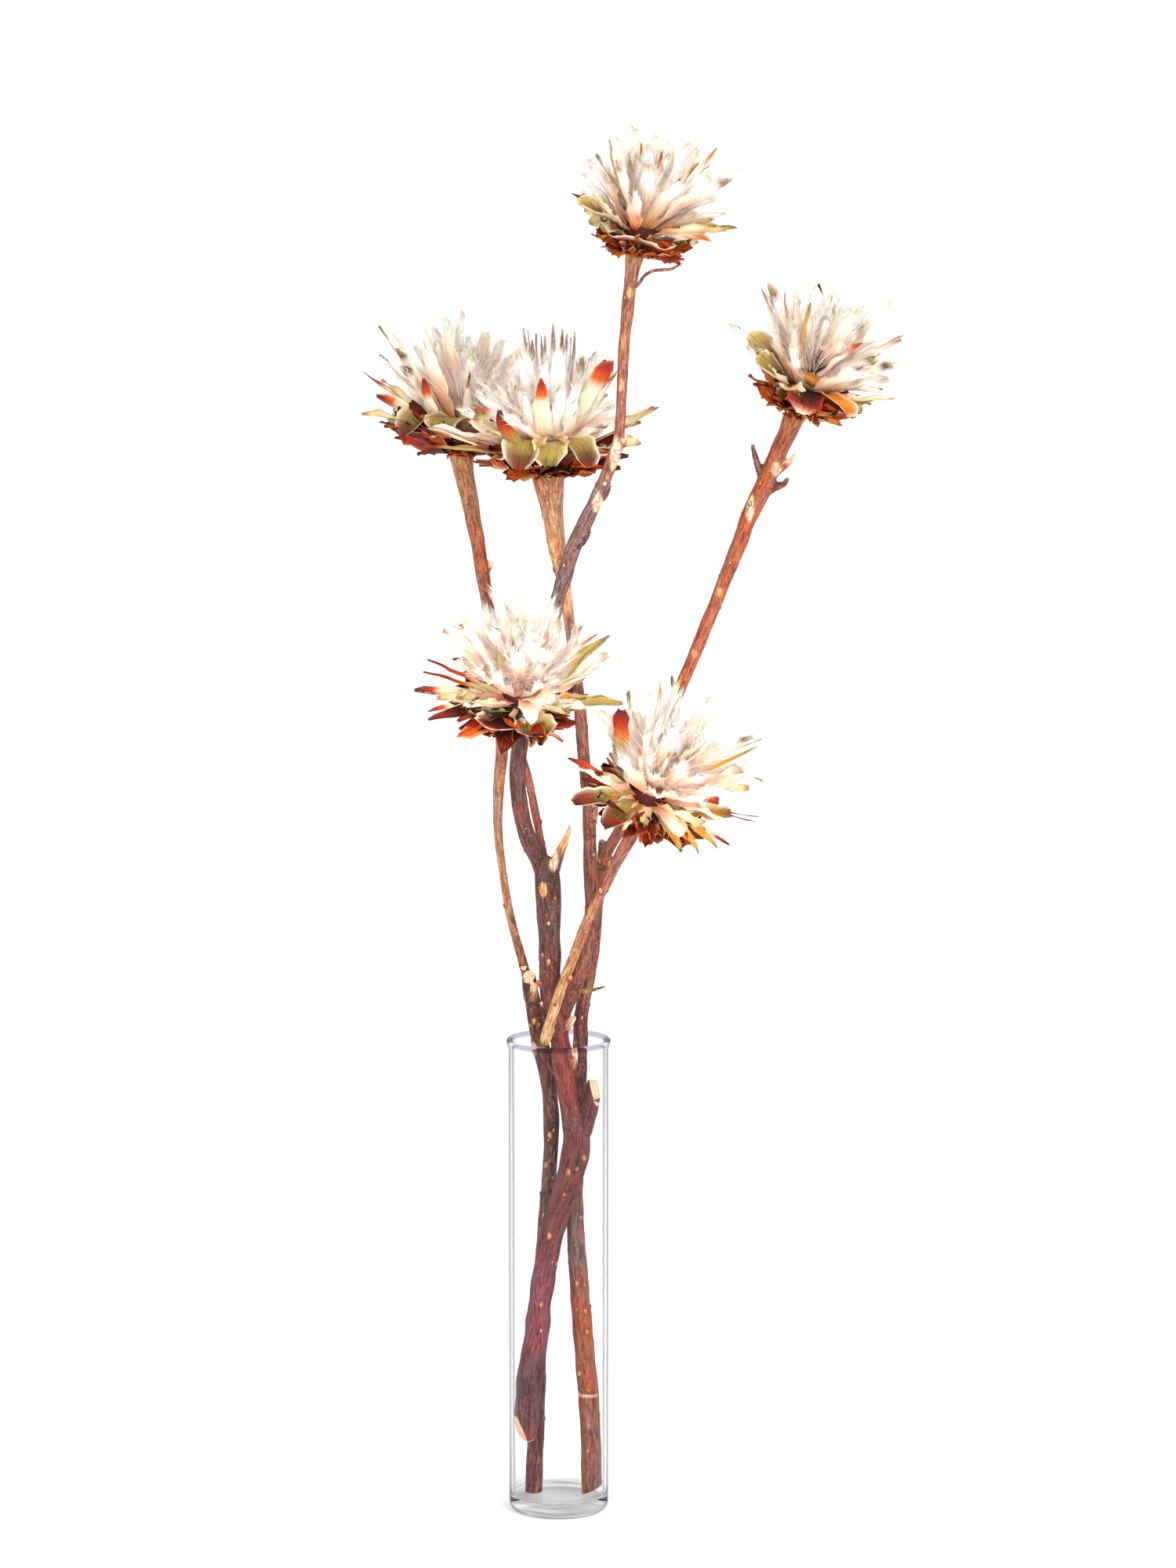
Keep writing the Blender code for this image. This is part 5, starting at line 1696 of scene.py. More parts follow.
@dataclass(frozen=True)
class Bud:
    """A small dry bud on a leaf scar: a low dome longer than wide, with a raised tip.

    Sizes are shares of half its width.
    """

    rings: tuple = ((1.25, -0.3), (1.05, 0.35), (0.55, 0.75))  # half width and height
    sides: int = 8
    oval: float = 1.5  # how much longer than wide
    lean: float = 0.6  # how far it leans ahead for its height
    tip: tuple = (0.95, 0.9)  # how high and how far ahead
    foot: float = 0.4  # how deep its root is sunk
    sizes: tuple = (0.5, 0.95)
    pale_share: float = 0.6
    sunk: float = 0.25
    mark_size: float = 1.3

    def add_to(
        self, weave: Weave, place: np.ndarray, out: np.ndarray, ahead: np.ndarray, size: float, pale: bool,
    ) -> None:
        """Add one bud.

        Args:
            weave: where the shell goes.
            place: its middle on the bark.
            out: the way it stands out.
            ahead: the way the limb grows.
            size: half its width.
            pale: whether its leaf scar is fresh.
        """
        across = np.cross(ahead, out)
        turns = np.arange(self.sides) * math.tau / self.sides
        oval = across[None, :] * np.cos(turns)[:, None] + ahead[None, :] * np.sin(turns)[:, None] * self.oval
        points = [
            place + (oval * share + out * height + ahead * height * self.lean) * size
            for share, height in self.rings
        ]
        points.append((place - out * self.foot * size)[None, :])
        points.append((place + (out * self.tip[0] + ahead * self.tip[1]) * size)[None, :])
        points = np.concatenate(points)
        tints = np.broadcast_to(Hue.BARK_BROWN.linear, (len(points), 3)).copy()
        if pale:
            tints[self.sides * 2:] = Hue.LEAF_SCAR.linear
        weave.add(points, capped_tube(len(self.rings), self.sides), tints, points)


BUD = Bud()


@dataclass(frozen=True)
class Branch:
    """One branch of melted limbs, with its cuts, scars, buds and bark."""

    name: str
    limbs: tuple
    cuts: tuple
    scars: tuple
    finish: BarkFinish  # named as the record's slot
    seed: int
    buds: int
    marks: tuple = ()  # x and z where a large pale bud stands on the front
    voxel: float = 0.88
    spacing: float = 3.0
    sides: int = 16
    thin_spacing: float = 1.5
    thin_sides: int = 10
    read_spacing: float = 6.0
    full_relief: float = 5.0  # radius from which the bark's relief is at its full depth
    grain_shift: float = 700.0  # keeps the limbs' grains apart
    flat_slack: float = 0.35  # how near a sawn end the bark has no relief
    sawn_slack: float = 0.3  # how near a sawn end a face shows cut wood
    sawn_facing: float = 0.8  # and how far it has to face the same way
    mark_reach: tuple = (0.8, 1.6)  # how far across and up the bark under a mark is looked for
    mark_sunk: float = 0.2
    lumps: float = 0.28  # how uneven the limbs are
    lump_waves: int = 5
    lump_lengths: tuple = (9.0, 40.0)
    lump_gain: float = 1.6  # makes up for waves that cancel out
    streaks: float = 0.22  # how far the bark's streaks stand out
    streak_waves: int = 6
    streak_lengths: tuple = (25.0, 60.0)
    streak_gain: float = 1.8

    def build(self, cut_wood: bpy.types.Material) -> bpy.types.Object:
        """Build the branch as a piece.

        Args:
            cut_wood: the finish of its sawn ends.

        Returns:
            The piece.
        """
        mesh = self.dress(self.trim(self.melt()))
        mesh.materials.append(self.finish.material())
        mesh.materials.append(cut_wood)
        self.mark_cuts(mesh)
        return place_piece(f"fine_{self.name}", mesh, self.name)

    def melt(self) -> bpy.types.Object:
        """Join the thick limbs in one skin whose forks are filled and soft."""
        weave = Weave()
        for limb in self.limbs:
            if not limb.thin:
                weave.add(*Route(limb.points, self.spacing).tube(self.sides), Hue.WOOD.linear, UP)
        body = bpy.data.objects.new(self.name + "_melt", weave.mesh(self.name + "_melt", 180.0))
        bpy.context.scene.collection.objects.link(body)
        remesh = body.modifiers.new("melt", "REMESH")
        remesh.mode = "VOXEL"
        remesh.voxel_size = self.voxel * MM
        soften = body.modifiers.new("soften", "SMOOTH")
        soften.factor = 0.5
        soften.iterations = 4
        return body

    def trim(self, body: bpy.types.Object) -> bpy.types.Mesh:
        """Saw the ends off.

        Args:
            body: the melted limbs, which are removed.

        Returns:
            The trimmed skin.
        """
        blocks = [cut.block() for cut in self.cuts]
        for block in blocks:
            saw = body.modifiers.new("saw", "BOOLEAN")
            saw.operation = "DIFFERENCE"
            saw.solver = "MANIFOLD"
            saw.object = block
        depsgraph = bpy.context.evaluated_depsgraph_get()
        mesh = bpy.data.meshes.new_from_object(body.evaluated_get(depsgraph))
        for obj in [body, *blocks]:
            bpy.data.objects.remove(obj, do_unlink=True)
        return mesh

    def dress(self, mesh: bpy.types.Mesh) -> bpy.types.Mesh:
        """Give the skin its relief and colours, and add its thin limbs and buds.

        Args:
            mesh: the trimmed skin.

        Returns:
            A new mesh with tints and grain.
        """
        bm = bmesh.new()
        bm.from_mesh(mesh)
        bmesh.ops.triangulate(bm, faces=bm.faces)
        bm.normal_update()
        points = np.array([vert.co for vert in bm.verts]) / MM
        normals = np.array([vert.normal for vert in bm.verts])
        faces = np.array([[vert.index for vert in face.verts] for face in bm.faces])
        bm.free()
        bpy.data.meshes.remove(mesh)
        tints, grains = self.read_limbs(points)
        sawn = np.any([cut.holds(points, self.flat_slack) for cut in self.cuts], axis=0)
        thickness = np.minimum(np.linalg.norm(grains[:, :2], axis=1) / self.full_relief, 1.0)
        height = self.relief(grains) * np.where(sawn, 0.0, thickness)
        for scar in self.scars:
            tints = tints + (scar.hue.linear - tints) * scar.cover(points)
        points = points + normals * height[:, None]
        weave = Weave()
        weave.add(points, faces, tints, grains)
        for limb in self.limbs:
            if limb.thin:
                self.add_thin(weave, limb)
        self.add_buds(weave)
        for x, z in self.marks:
            across, up = self.mark_reach
            near = points[(np.abs(points[:, 0] - x) < across) & (np.abs(points[:, 2] - z) < up)]
            place = np.array((x, near[:, 1].min() + self.mark_sunk, z))
            BUD.add_to(weave, place, FRONT, UP, BUD.mark_size, True)
        return weave.mesh(f"fine_{self.name}", SHARP_BARK)

    def read_limbs(self, points: np.ndarray) -> tuple:
        """Find each point's nearest limb.

        Args:
            points: places on the skin.

        Returns:
            A tint for each point, and its place in the grain: round the limb, and along it.
        """
        best = np.full(len(points), 1e9)
        tints = np.zeros((len(points), 3))
        grains = np.zeros((len(points), 3))
        for number, limb in enumerate(self.limbs):
            if limb.thin:
                continue
            route = Route(limb.points, self.read_spacing)
            lengths = np.linalg.norm(np.diff(route.centre, axis=0), axis=1)
            reached = np.concatenate([[0.0], np.cumsum(lengths)])
            for start in range(0, len(points), CHUNK):
                part = points[start:start + CHUNK]
                gaps = part[:, None, :] - route.centre[None, :, :]
                distance = np.linalg.norm(gaps, axis=2) - route.radius[None, :]
                near = distance.argmin(axis=1)
                rows = np.arange(len(part))
                shorter = distance[rows, near] < best[start:start + CHUNK]
                gap, ahead = gaps[rows, near], route.ahead[near]
                step = (gap * ahead).sum(axis=1)
                along = reached[near] + step
                flat = gap - ahead * step[:, None]
                first = (flat * route.first[near]).sum(axis=1)
                second = (flat * route.second[near]).sum(axis=1)
                grain = np.stack([first, second, along + number * self.grain_shift], axis=-1)
                colour = hues_along(limb.hues, np.clip(along / reached[-1], 0.0, 1.0))
                picked = np.flatnonzero(shorter) + start
                tints[picked] = colour[shorter]
                grains[picked] = grain[shorter]
                best[picked] = distance[rows, near][shorter]
        return tints, grains

    def relief(self, grains: np.ndarray) -> np.ndarray:
        """Return how far the bark stands out at each point, from waves that run with the grain.

        Args:
            grains: each point's place in the grain.

        Returns:
            The heights.
        """
        turn = np.arctan2(grains[:, 1], grains[:, 0])
        along = grains[:, 2]
        draw = np.random.default_rng(self.seed)
        height = np.zeros(len(grains))
        for _ in range(self.lump_waves):
            length, sides = draw.uniform(*self.lump_lengths), draw.integers(1, 3)
            phase = draw.uniform(0.0, math.tau, 2)
            wave = np.sin(math.tau * along / length + phase[0] + 1.7 * np.sin(sides * turn + phase[1]))
            height += wave * self.lumps / self.lump_waves * self.lump_gain
        for _ in range(self.streak_waves):
            sides, phase = draw.integers(5, 12), draw.uniform(0.0, math.tau, 2)
            drift = draw.uniform(*self.streak_lengths)
            wave = np.sin(sides * turn + phase[0] + 2.0 * np.sin(math.tau * along / drift + phase[1]))
            height += wave * self.streaks / self.streak_waves * self.streak_gain
        return height

    def mark_cuts(self, mesh: bpy.types.Mesh) -> None:
        """Give the faces on pale sawn ends the cut wood's finish.

        Args:
            mesh: the branch's mesh, whose second finish is the cut wood's.
        """
        centres = np.zeros(len(mesh.polygons) * 3, np.float32)
        mesh.polygons.foreach_get("center", centres)
        normals = np.zeros(len(mesh.polygons) * 3, np.float32)
        mesh.polygons.foreach_get("normal", normals)
        centres, normals = centres.reshape(-1, 3) / MM, normals.reshape(-1, 3)
        sawn = np.zeros(len(centres), np.int32)
        for cut in self.cuts:
            if cut.pale:
                facing = normals @ np.array(cut.way) > self.sawn_facing
                sawn[cut.holds(centres, self.sawn_slack) & facing] = 1
        mesh.polygons.foreach_set("material_index", sawn)

    def add_thin(self, weave: Weave, limb: Limb) -> None:
        """Add a limb that keeps its own tube.

        Args:
            weave: where the shell goes.
            limb: the limb.
        """
        route = Route(limb.points, self.thin_spacing)
        points, faces = route.tube(self.thin_sides)
        share = np.repeat(np.linspace(0.0, 1.0, len(route.centre)), self.thin_sides)
        weave.add(points, faces, hues_along(limb.hues, np.concatenate([share, [0.0, 1.0]])), points)

    def add_buds(self, weave: Weave) -> None:
        """Add small dry buds and leaf scars that stand out of the bark.

        Args:
            weave: where the shells go.
        """
        draw = np.random.default_rng(self.seed + 5)
        long = [limb.points for limb in self.limbs if not limb.thin and len(limb.points) > 8]
        shares = np.array([len(points) for points in long], float)
        routes = [Route(points, self.spacing) for points in long]
        for _ in range(self.buds):
            route = routes[draw.choice(len(routes), p=shares / shares.sum())]
            at = draw.integers(6, len(route.centre) - 6)
            turn = draw.uniform(0.0, math.tau)
            out = route.first[at] * math.cos(turn) + route.second[at] * math.sin(turn)
            size = draw.uniform(*BUD.sizes)
            pale = draw.random() < BUD.pale_share
            place = route.centre[at] + out * (route.radius[at] - BUD.sunk)
            BUD.add_to(weave, place, out, route.ahead[at], size, pale)


TRUNK = (
    (-17.6, -1.4, 36.4, 4.8), (-17.2, -1.6, 41.0, 6.3), (-16.1, -2.5, 60.3, 6.6), (-14.0, -3.0, 77.3, 6.7),
    (-11.3, -3.5, 94.3, 6.4), (-9.6, -4.0, 111.2, 6.2), (-7.1, -5.0, 128.2, 6.1),
    (-2.2, -7.0, 153.8, 6.3), (3.5, -8.5, 170.8, 6.7), (8.0, -9.0, 187.5, 7.2),
    (9.4, -9.4, 199.0, 7.1), (7.4, -9.5, 210.4, 5.9), (4.8, -9.0, 220.6, 4.9),
    (2.7, -8.0, 236.9, 5.3), (0.3, -7.0, 253.2, 5.2), (-1.6, -6.5, 262.5, 4.9),
    (-3.4, -6.0, 271.0, 4.9), (-4.1, -6.0, 285.9, 5.3), (-4.5, -6.0, 302.3, 5.7),
    (-4.9, -6.0, 318.7, 6.3), (-5.3, -6.0, 331.0, 6.7), (-6.0, -6.0, 340.0, 6.2),
    (-7.5, -6.0, 345.0, 4.0),
)
TRUNK_STUB = (
    (9.0, -9.4, 198.0, 6.4), (13.8, -8.0, 209.0, 5.3), (17.3, -5.4, 221.0, 4.3),
    (18.8, -4.2, 229.0, 3.8),
)
TOP_LIMB = (
    (-5.6, -6.0, 334.0, 5.2), (-10.5, -6.0, 346.5, 4.8), (-14.5, -6.0, 353.5, 4.5),
    (-17.4, -6.0, 361.6, 4.2), (-19.7, -5.0, 373.6, 4.2), (-20.9, -4.0, 387.7, 4.2),
    (-20.1, -1.0, 400.4, 4.3), (-16.9, 4.0, 415.2, 4.2), (-11.7, 7.0, 435.1, 4.1),
    (-5.6, 5.0, 455.8, 4.0), (-1.9, 0.0, 472.6, 4.0), (2.9, -6.0, 489.2, 3.9),
    (7.7, -12.0, 505.6, 4.0), (14.9, -19.0, 521.9, 3.8), (22.4, -25.0, 538.6, 3.3),
    (28.3, -28.0, 554.3, 3.2), (31.1, -30.0, 566.3, 2.7), (32.2, -31.0, 586.1, 2.7),
    (33.4, -32.0, 609.7, 2.9), (35.7, -31.0, 633.2, 3.2), (37.4, -29.4, 647.0, 3.7),
    (38.4, -28.4, 653.4, 4.6), (39.2, -28.0, 658.0, 4.8),
)
LOWER_LEFT_STEM = (
    (-6.6, -2.5, 337.0, 2.6), (-9.0, 1.0, 352.0, 2.3), (-11.4, 4.5, 365.0, 2.2),
    (-14.6, 7.5, 381.0, 2.2), (-19.0, 8.5, 396.0, 2.2), (-25.0, 5.5, 407.0, 2.2),
    (-28.2, -3.0, 412.0, 2.3), (-27.4, -14.0, 413.6, 2.5), (-24.6, -24.0, 414.6, 2.8),
    (-21.8, -32.0, 416.0, 3.3), (-20.0, -38.2, 420.4, 4.2), (-19.2, -41.6, 426.0, 4.8),
)
TRUNK_TIP_STUB = (
    (-4.6, -6.6, 335.0, 4.6), (-0.2, -8.6, 346.0, 2.9), (3.6, -10.6, 355.5, 1.9),
    (5.6, -11.2, 361.0, 1.2), (6.4, -11.2, 364.0, 0.7),
)
CENTRE_LIMB = (
    (-0.4, -6.5, 253.0, 3.6), (3.6, -5.2, 266.0, 3.8), (8.4, -3.0, 278.0, 4.0),
    (13.3, -1.0, 292.4, 4.0), (16.5, 0.0, 309.5, 3.8), (17.3, 0.0, 321.8, 3.8),
    (16.5, 1.0, 340.1, 3.6), (16.1, 2.0, 358.3, 3.4), (15.3, 3.0, 374.5, 3.2),
    (13.3, 5.0, 394.6, 3.2), (11.7, 8.0, 414.6, 3.2), (9.3, 12.0, 438.6, 3.0),
    (6.4, 15.0, 459.5, 2.9), (4.0, 18.0, 477.9, 3.1), (0.8, 19.5, 494.8, 4.0),
    (-1.6, 20.0, 510.5, 4.8), (-3.4, 20.0, 525.0, 6.0), (-4.4, 20.0, 534.0, 7.4),
    (-5.0, 20.0, 540.0, 8.6), (-5.1, 19.8, 544.0, 8.8),
)
LOWER_RIGHT_STEM = (
    (-7.4, -12.6, 249.4, 2.2), (-6.6, -13.2, 252.0, 2.9), (-3.6, -14.0, 263.0, 2.9),
    (1.6, -15.0, 279.4, 2.8), (8.1, -16.5, 296.3, 2.7), (14.1, -20.0, 313.2, 2.7),
    (21.7, -24.0, 330.0, 2.8),
    (29.7, -29.0, 347.0, 3.1), (37.0, -35.5, 361.5, 3.5), (40.4, -40.8, 370.6, 3.9),
    (42.4, -44.6, 376.2, 4.7), (43.6, -46.8, 380.0, 5.0),
)
LEFT_LIMB = (
    (-13.3, 3.6, 6.0, 4.7), (-12.5, 7.5, 29.9, 4.5), (-12.0, 9.3, 42.0, 4.5),
    (-11.5, 9.5, 57.0, 4.4), (-10.2, 8.5, 91.1, 4.1), (-8.9, 8.0, 125.0, 3.8),
    (-6.8, 7.5, 158.7, 3.6), (-4.3, 7.0, 183.9, 3.9), (-3.9, 7.0, 200.6, 4.1),
    (-4.3, 7.0, 217.2, 4.1), (-7.1, 8.0, 235.7, 4.5), (-10.3, 8.0, 250.2, 4.6),
    (-12.4, 8.0, 261.8, 4.3), (-13.8, 7.2, 272.0, 3.7), (-15.2, 6.0, 281.0, 3.5),
    (-15.6, 5.6, 284.0, 3.0),
)
FAR_LEFT_STEM = (
    (-12.8, 8.2, 265.0, 3.4), (-14.8, 10.0, 274.0, 2.9), (-17.3, 12.0, 283.4, 2.5),
    (-19.7, 13.0, 291.5, 2.4), (-23.3, 14.0, 305.0, 2.3), (-26.2, 14.5, 317.2, 2.2),
    (-29.0, 15.0, 335.7, 2.2), (-31.0, 16.0, 352.0, 2.3), (-31.4, 17.0, 366.2, 2.6),
    (-30.5, 19.0, 384.4, 3.1), (-29.3, 21.0, 398.4, 3.3), (-30.2, 25.0, 420.4, 3.2),
    (-32.6, 31.0, 444.2, 3.2), (-36.0, 38.0, 467.9, 3.3), (-39.3, 45.0, 485.6, 3.6),
    (-41.9, 53.0, 501.2, 3.8), (-45.3, 63.0, 516.6, 4.3), (-48.6, 76.0, 532.1, 4.9),
    (-51.0, 83.6, 543.6, 6.2), (-52.4, 86.0, 548.6, 6.6),
)
RIGHT_LIMB = (
    (17.5, 1.0, 6.0, 5.5), (17.0, 1.5, 27.5, 5.5), (16.4, 2.0, 48.5, 5.5),
    (14.5, 2.5, 71.6, 5.5), (12.4, 3.0, 96.8, 5.3), (10.4, 4.0, 121.8, 5.1),
    (8.8, 5.0, 150.9, 4.6), (8.8, 6.0, 175.8, 4.1), (10.0, 7.0, 200.6, 3.9),
    (11.2, 7.0, 225.5, 3.7), (11.2, 7.5, 246.2, 3.9), (12.0, 8.5, 262.6, 3.7),
    (14.5, 10.0, 275.5, 3.7), (17.7, 13.0, 292.7, 3.5), (19.8, 15.0, 315.1, 3.3),
    (21.4, 16.0, 333.5, 3.1), (25.9, 16.0, 346.2, 3.0), (33.6, 16.0, 360.2, 3.0),
    (41.7, 17.0, 378.5, 3.0), (49.7, 17.0, 399.0, 3.0), (57.0, 17.0, 416.6, 3.0),
    (63.8, 16.0, 433.0, 3.2), (72.6, 15.0, 454.3, 3.4), (79.0, 14.0, 470.6, 3.4),
    (85.7, 13.0, 487.7, 3.6), (92.1, 12.0, 504.0, 4.0), (98.0, 11.0, 520.2, 4.4),
    (104.3, 10.0, 533.5, 4.8), (110.2, 9.4, 547.6, 4.5), (116.1, 9.0, 561.3, 4.7),
    (120.8, 7.0, 571.6, 5.6), (123.4, 4.2, 576.6, 6.0),
)
TOP_TENDRIL = (
    (36.6, -30.6, 637.5, 1.3), (40.6, -32.6, 640.5, 0.9), (43.6, -33.4, 644.6, 0.8),
    (48.0, -33.8, 647.0, 0.8), (53.0, -33.6, 647.4, 0.8), (57.0, -33.0, 647.8, 0.7),
    (61.0, -32.4, 650.0, 0.6),
)
PALE_TWIG = ((0.0, Hue.BARK_BROWN), (0.5, Hue.BARK_TAN), (0.8, Hue.WOOD), (1.0, Hue.WOOD))
DARK_TWIG = ((0.0, Hue.BARK_DARK), (0.8, Hue.BARK_DARK), (1.0, Hue.BARK_TAN))
RUSTY_TWIG = ((0.0, Hue.BARK_BROWN), (0.7, Hue.BARK_ORANGE), (1.0, Hue.LEAF_SCAR))
LEAF_SLIVER = ((0.0, Hue.DARK_OLIVE), (0.4, Hue.OLIVE), (1.0, Hue.UMBER))

FRONT_TWIGS = (
    Limb(((1.0, -8.5, 253.0, 2.0), (5.4, -9.4, 258.5, 1.8), (8.6, -9.6, 263.5, 1.5)), PALE_TWIG),
    Limb(((5.2, -9.0, 232.0, 1.8), (8.2, -10.4, 239.0, 1.9), (8.6, -10.6, 246.0, 1.5)), PALE_TWIG),
    Limb(((16.2, 1.4, 356.0, 2.4), (18.4, 0.6, 367.0, 2.0), (19.6, 0.2, 377.0, 1.3),
          (20.0, 0.0, 381.0, 0.7)), PALE_TWIG),
    Limb(((21.0, -24.4, 530.5, 1.9), (24.6, -26.0, 534.5, 1.4), (26.8, -26.6, 539.0, 0.8)), DARK_TWIG),
    Limb(((11.8, -15.6, 508.0, 1.8), (14.6, -17.0, 511.5, 1.3), (16.8, -18.0, 516.0, 0.7)), DARK_TWIG),
    Limb(((29.4, -28.6, 556.0, 2.2), (33.4, -29.6, 561.5, 1.9), (34.2, -29.8, 565.0, 1.3)), PALE_TWIG),
    Limb(((27.6, -31.0, 550.0, 1.2), (25.2, -30.2, 544.0, 1.0), (23.6, -29.0, 539.6, 0.5)), PALE_TWIG),
    Limb(((-6.6, -6.0, 277.0, 1.7), (-9.6, -7.0, 279.6, 1.5), (-11.4, -7.4, 281.6, 1.1)), RUSTY_TWIG),
    Limb(((-6.0, -6.0, 268.0, 1.3), (-8.0, -7.0, 268.6, 1.1), (-9.4, -7.6, 270.4, 0.9)), PALE_TWIG),
    Limb(((-6.0, -8.0, 256.0, 1.2), (-8.0, -6.8, 268.0, 0.9), (-9.0, -6.2, 280.0, 0.8),
          (-9.6, -6.0, 290.0, 0.5)), DARK_TWIG, thin=True),
    Limb(((8.6, -11.0, 277.6, 0.5), (13.0, -14.0, 277.4, 1.3), (17.4, -16.0, 278.4, 1.0),
          (24.0, -17.0, 280.4, 0.3)), LEAF_SLIVER, thin=True),
)
RIGHT_TWIGS = (
    Limb(((22.0, 16.0, 338.0, 2.6), (22.6, 15.0, 346.5, 2.3), (22.2, 14.6, 352.0, 1.5)), DARK_TWIG),
    Limb(((106.0, 9.6, 536.0, 2.4), (102.8, 8.4, 544.0, 2.0), (100.6, 7.4, 551.0, 1.6),
          (99.2, 7.0, 557.4, 1.0)), DARK_TWIG),
    Limb(((109.0, 8.6, 541.5, 2.6), (115.0, 7.0, 546.0, 2.2), (118.6, 6.4, 549.0, 1.7),
          (121.0, 6.0, 552.4, 0.9)), PALE_TWIG),
    Limb(((106.5, 9.4, 533.5, 2.6), (112.0, 8.4, 535.5, 2.2), (115.6, 7.8, 537.0, 1.7),
          (117.6, 7.4, 540.0, 1.0)), DARK_TWIG),
    Limb(((61.0, 14.0, 430.0, 1.6), (59.0, 13.0, 433.0, 1.2), (58.4, 12.6, 438.0, 0.7)), DARK_TWIG),
)
LEFT_TWIGS = (
    Limb(((-39.4, 46.0, 487.0, 2.4), (-35.8, 47.0, 490.5, 1.7), (-34.6, 47.4, 493.0, 1.0)), PALE_TWIG),
    Limb(((-8.0, 7.6, 240.0, 2.6), (-12.6, 4.6, 243.0, 1.8), (-14.0, 4.0, 246.0, 1.1)), PALE_TWIG),
    Limb(((-12.8, 5.0, 270.0, 2.6), (-12.4, 1.6, 275.5, 2.0), (-12.2, 0.6, 278.6, 1.6)), PALE_TWIG),
    Limb(((-15.6, 7.0, 266.0, 1.2), (-17.4, 5.6, 272.0, 1.0), (-18.4, 5.0, 281.0, 0.6)),
         DARK_TWIG, thin=True),
)

SEAT_GAP = 0.3  # between a stem's end and its bloom
SEAT_BLOCK = 22.0  # size of the block that trims a stem
FLOOR_SEAT = 6.8  # where the stems stand, just over the vase's floor


def seat_cut(bloom: Bloom) -> Cut:
    """Trim a stem square a gap below its bloom."""
    axis = bloom.axes()[2]
    place = np.array(bloom.base) - axis * SEAT_GAP
    return Cut(tuple(place), tuple(axis), SEAT_BLOCK, pale=False)


def seat_cuts(names: tuple) -> tuple:
    """Trim the stems of the named blooms."""
    return tuple(seat_cut(bloom) for bloom in BLOOMS if bloom.name in names)


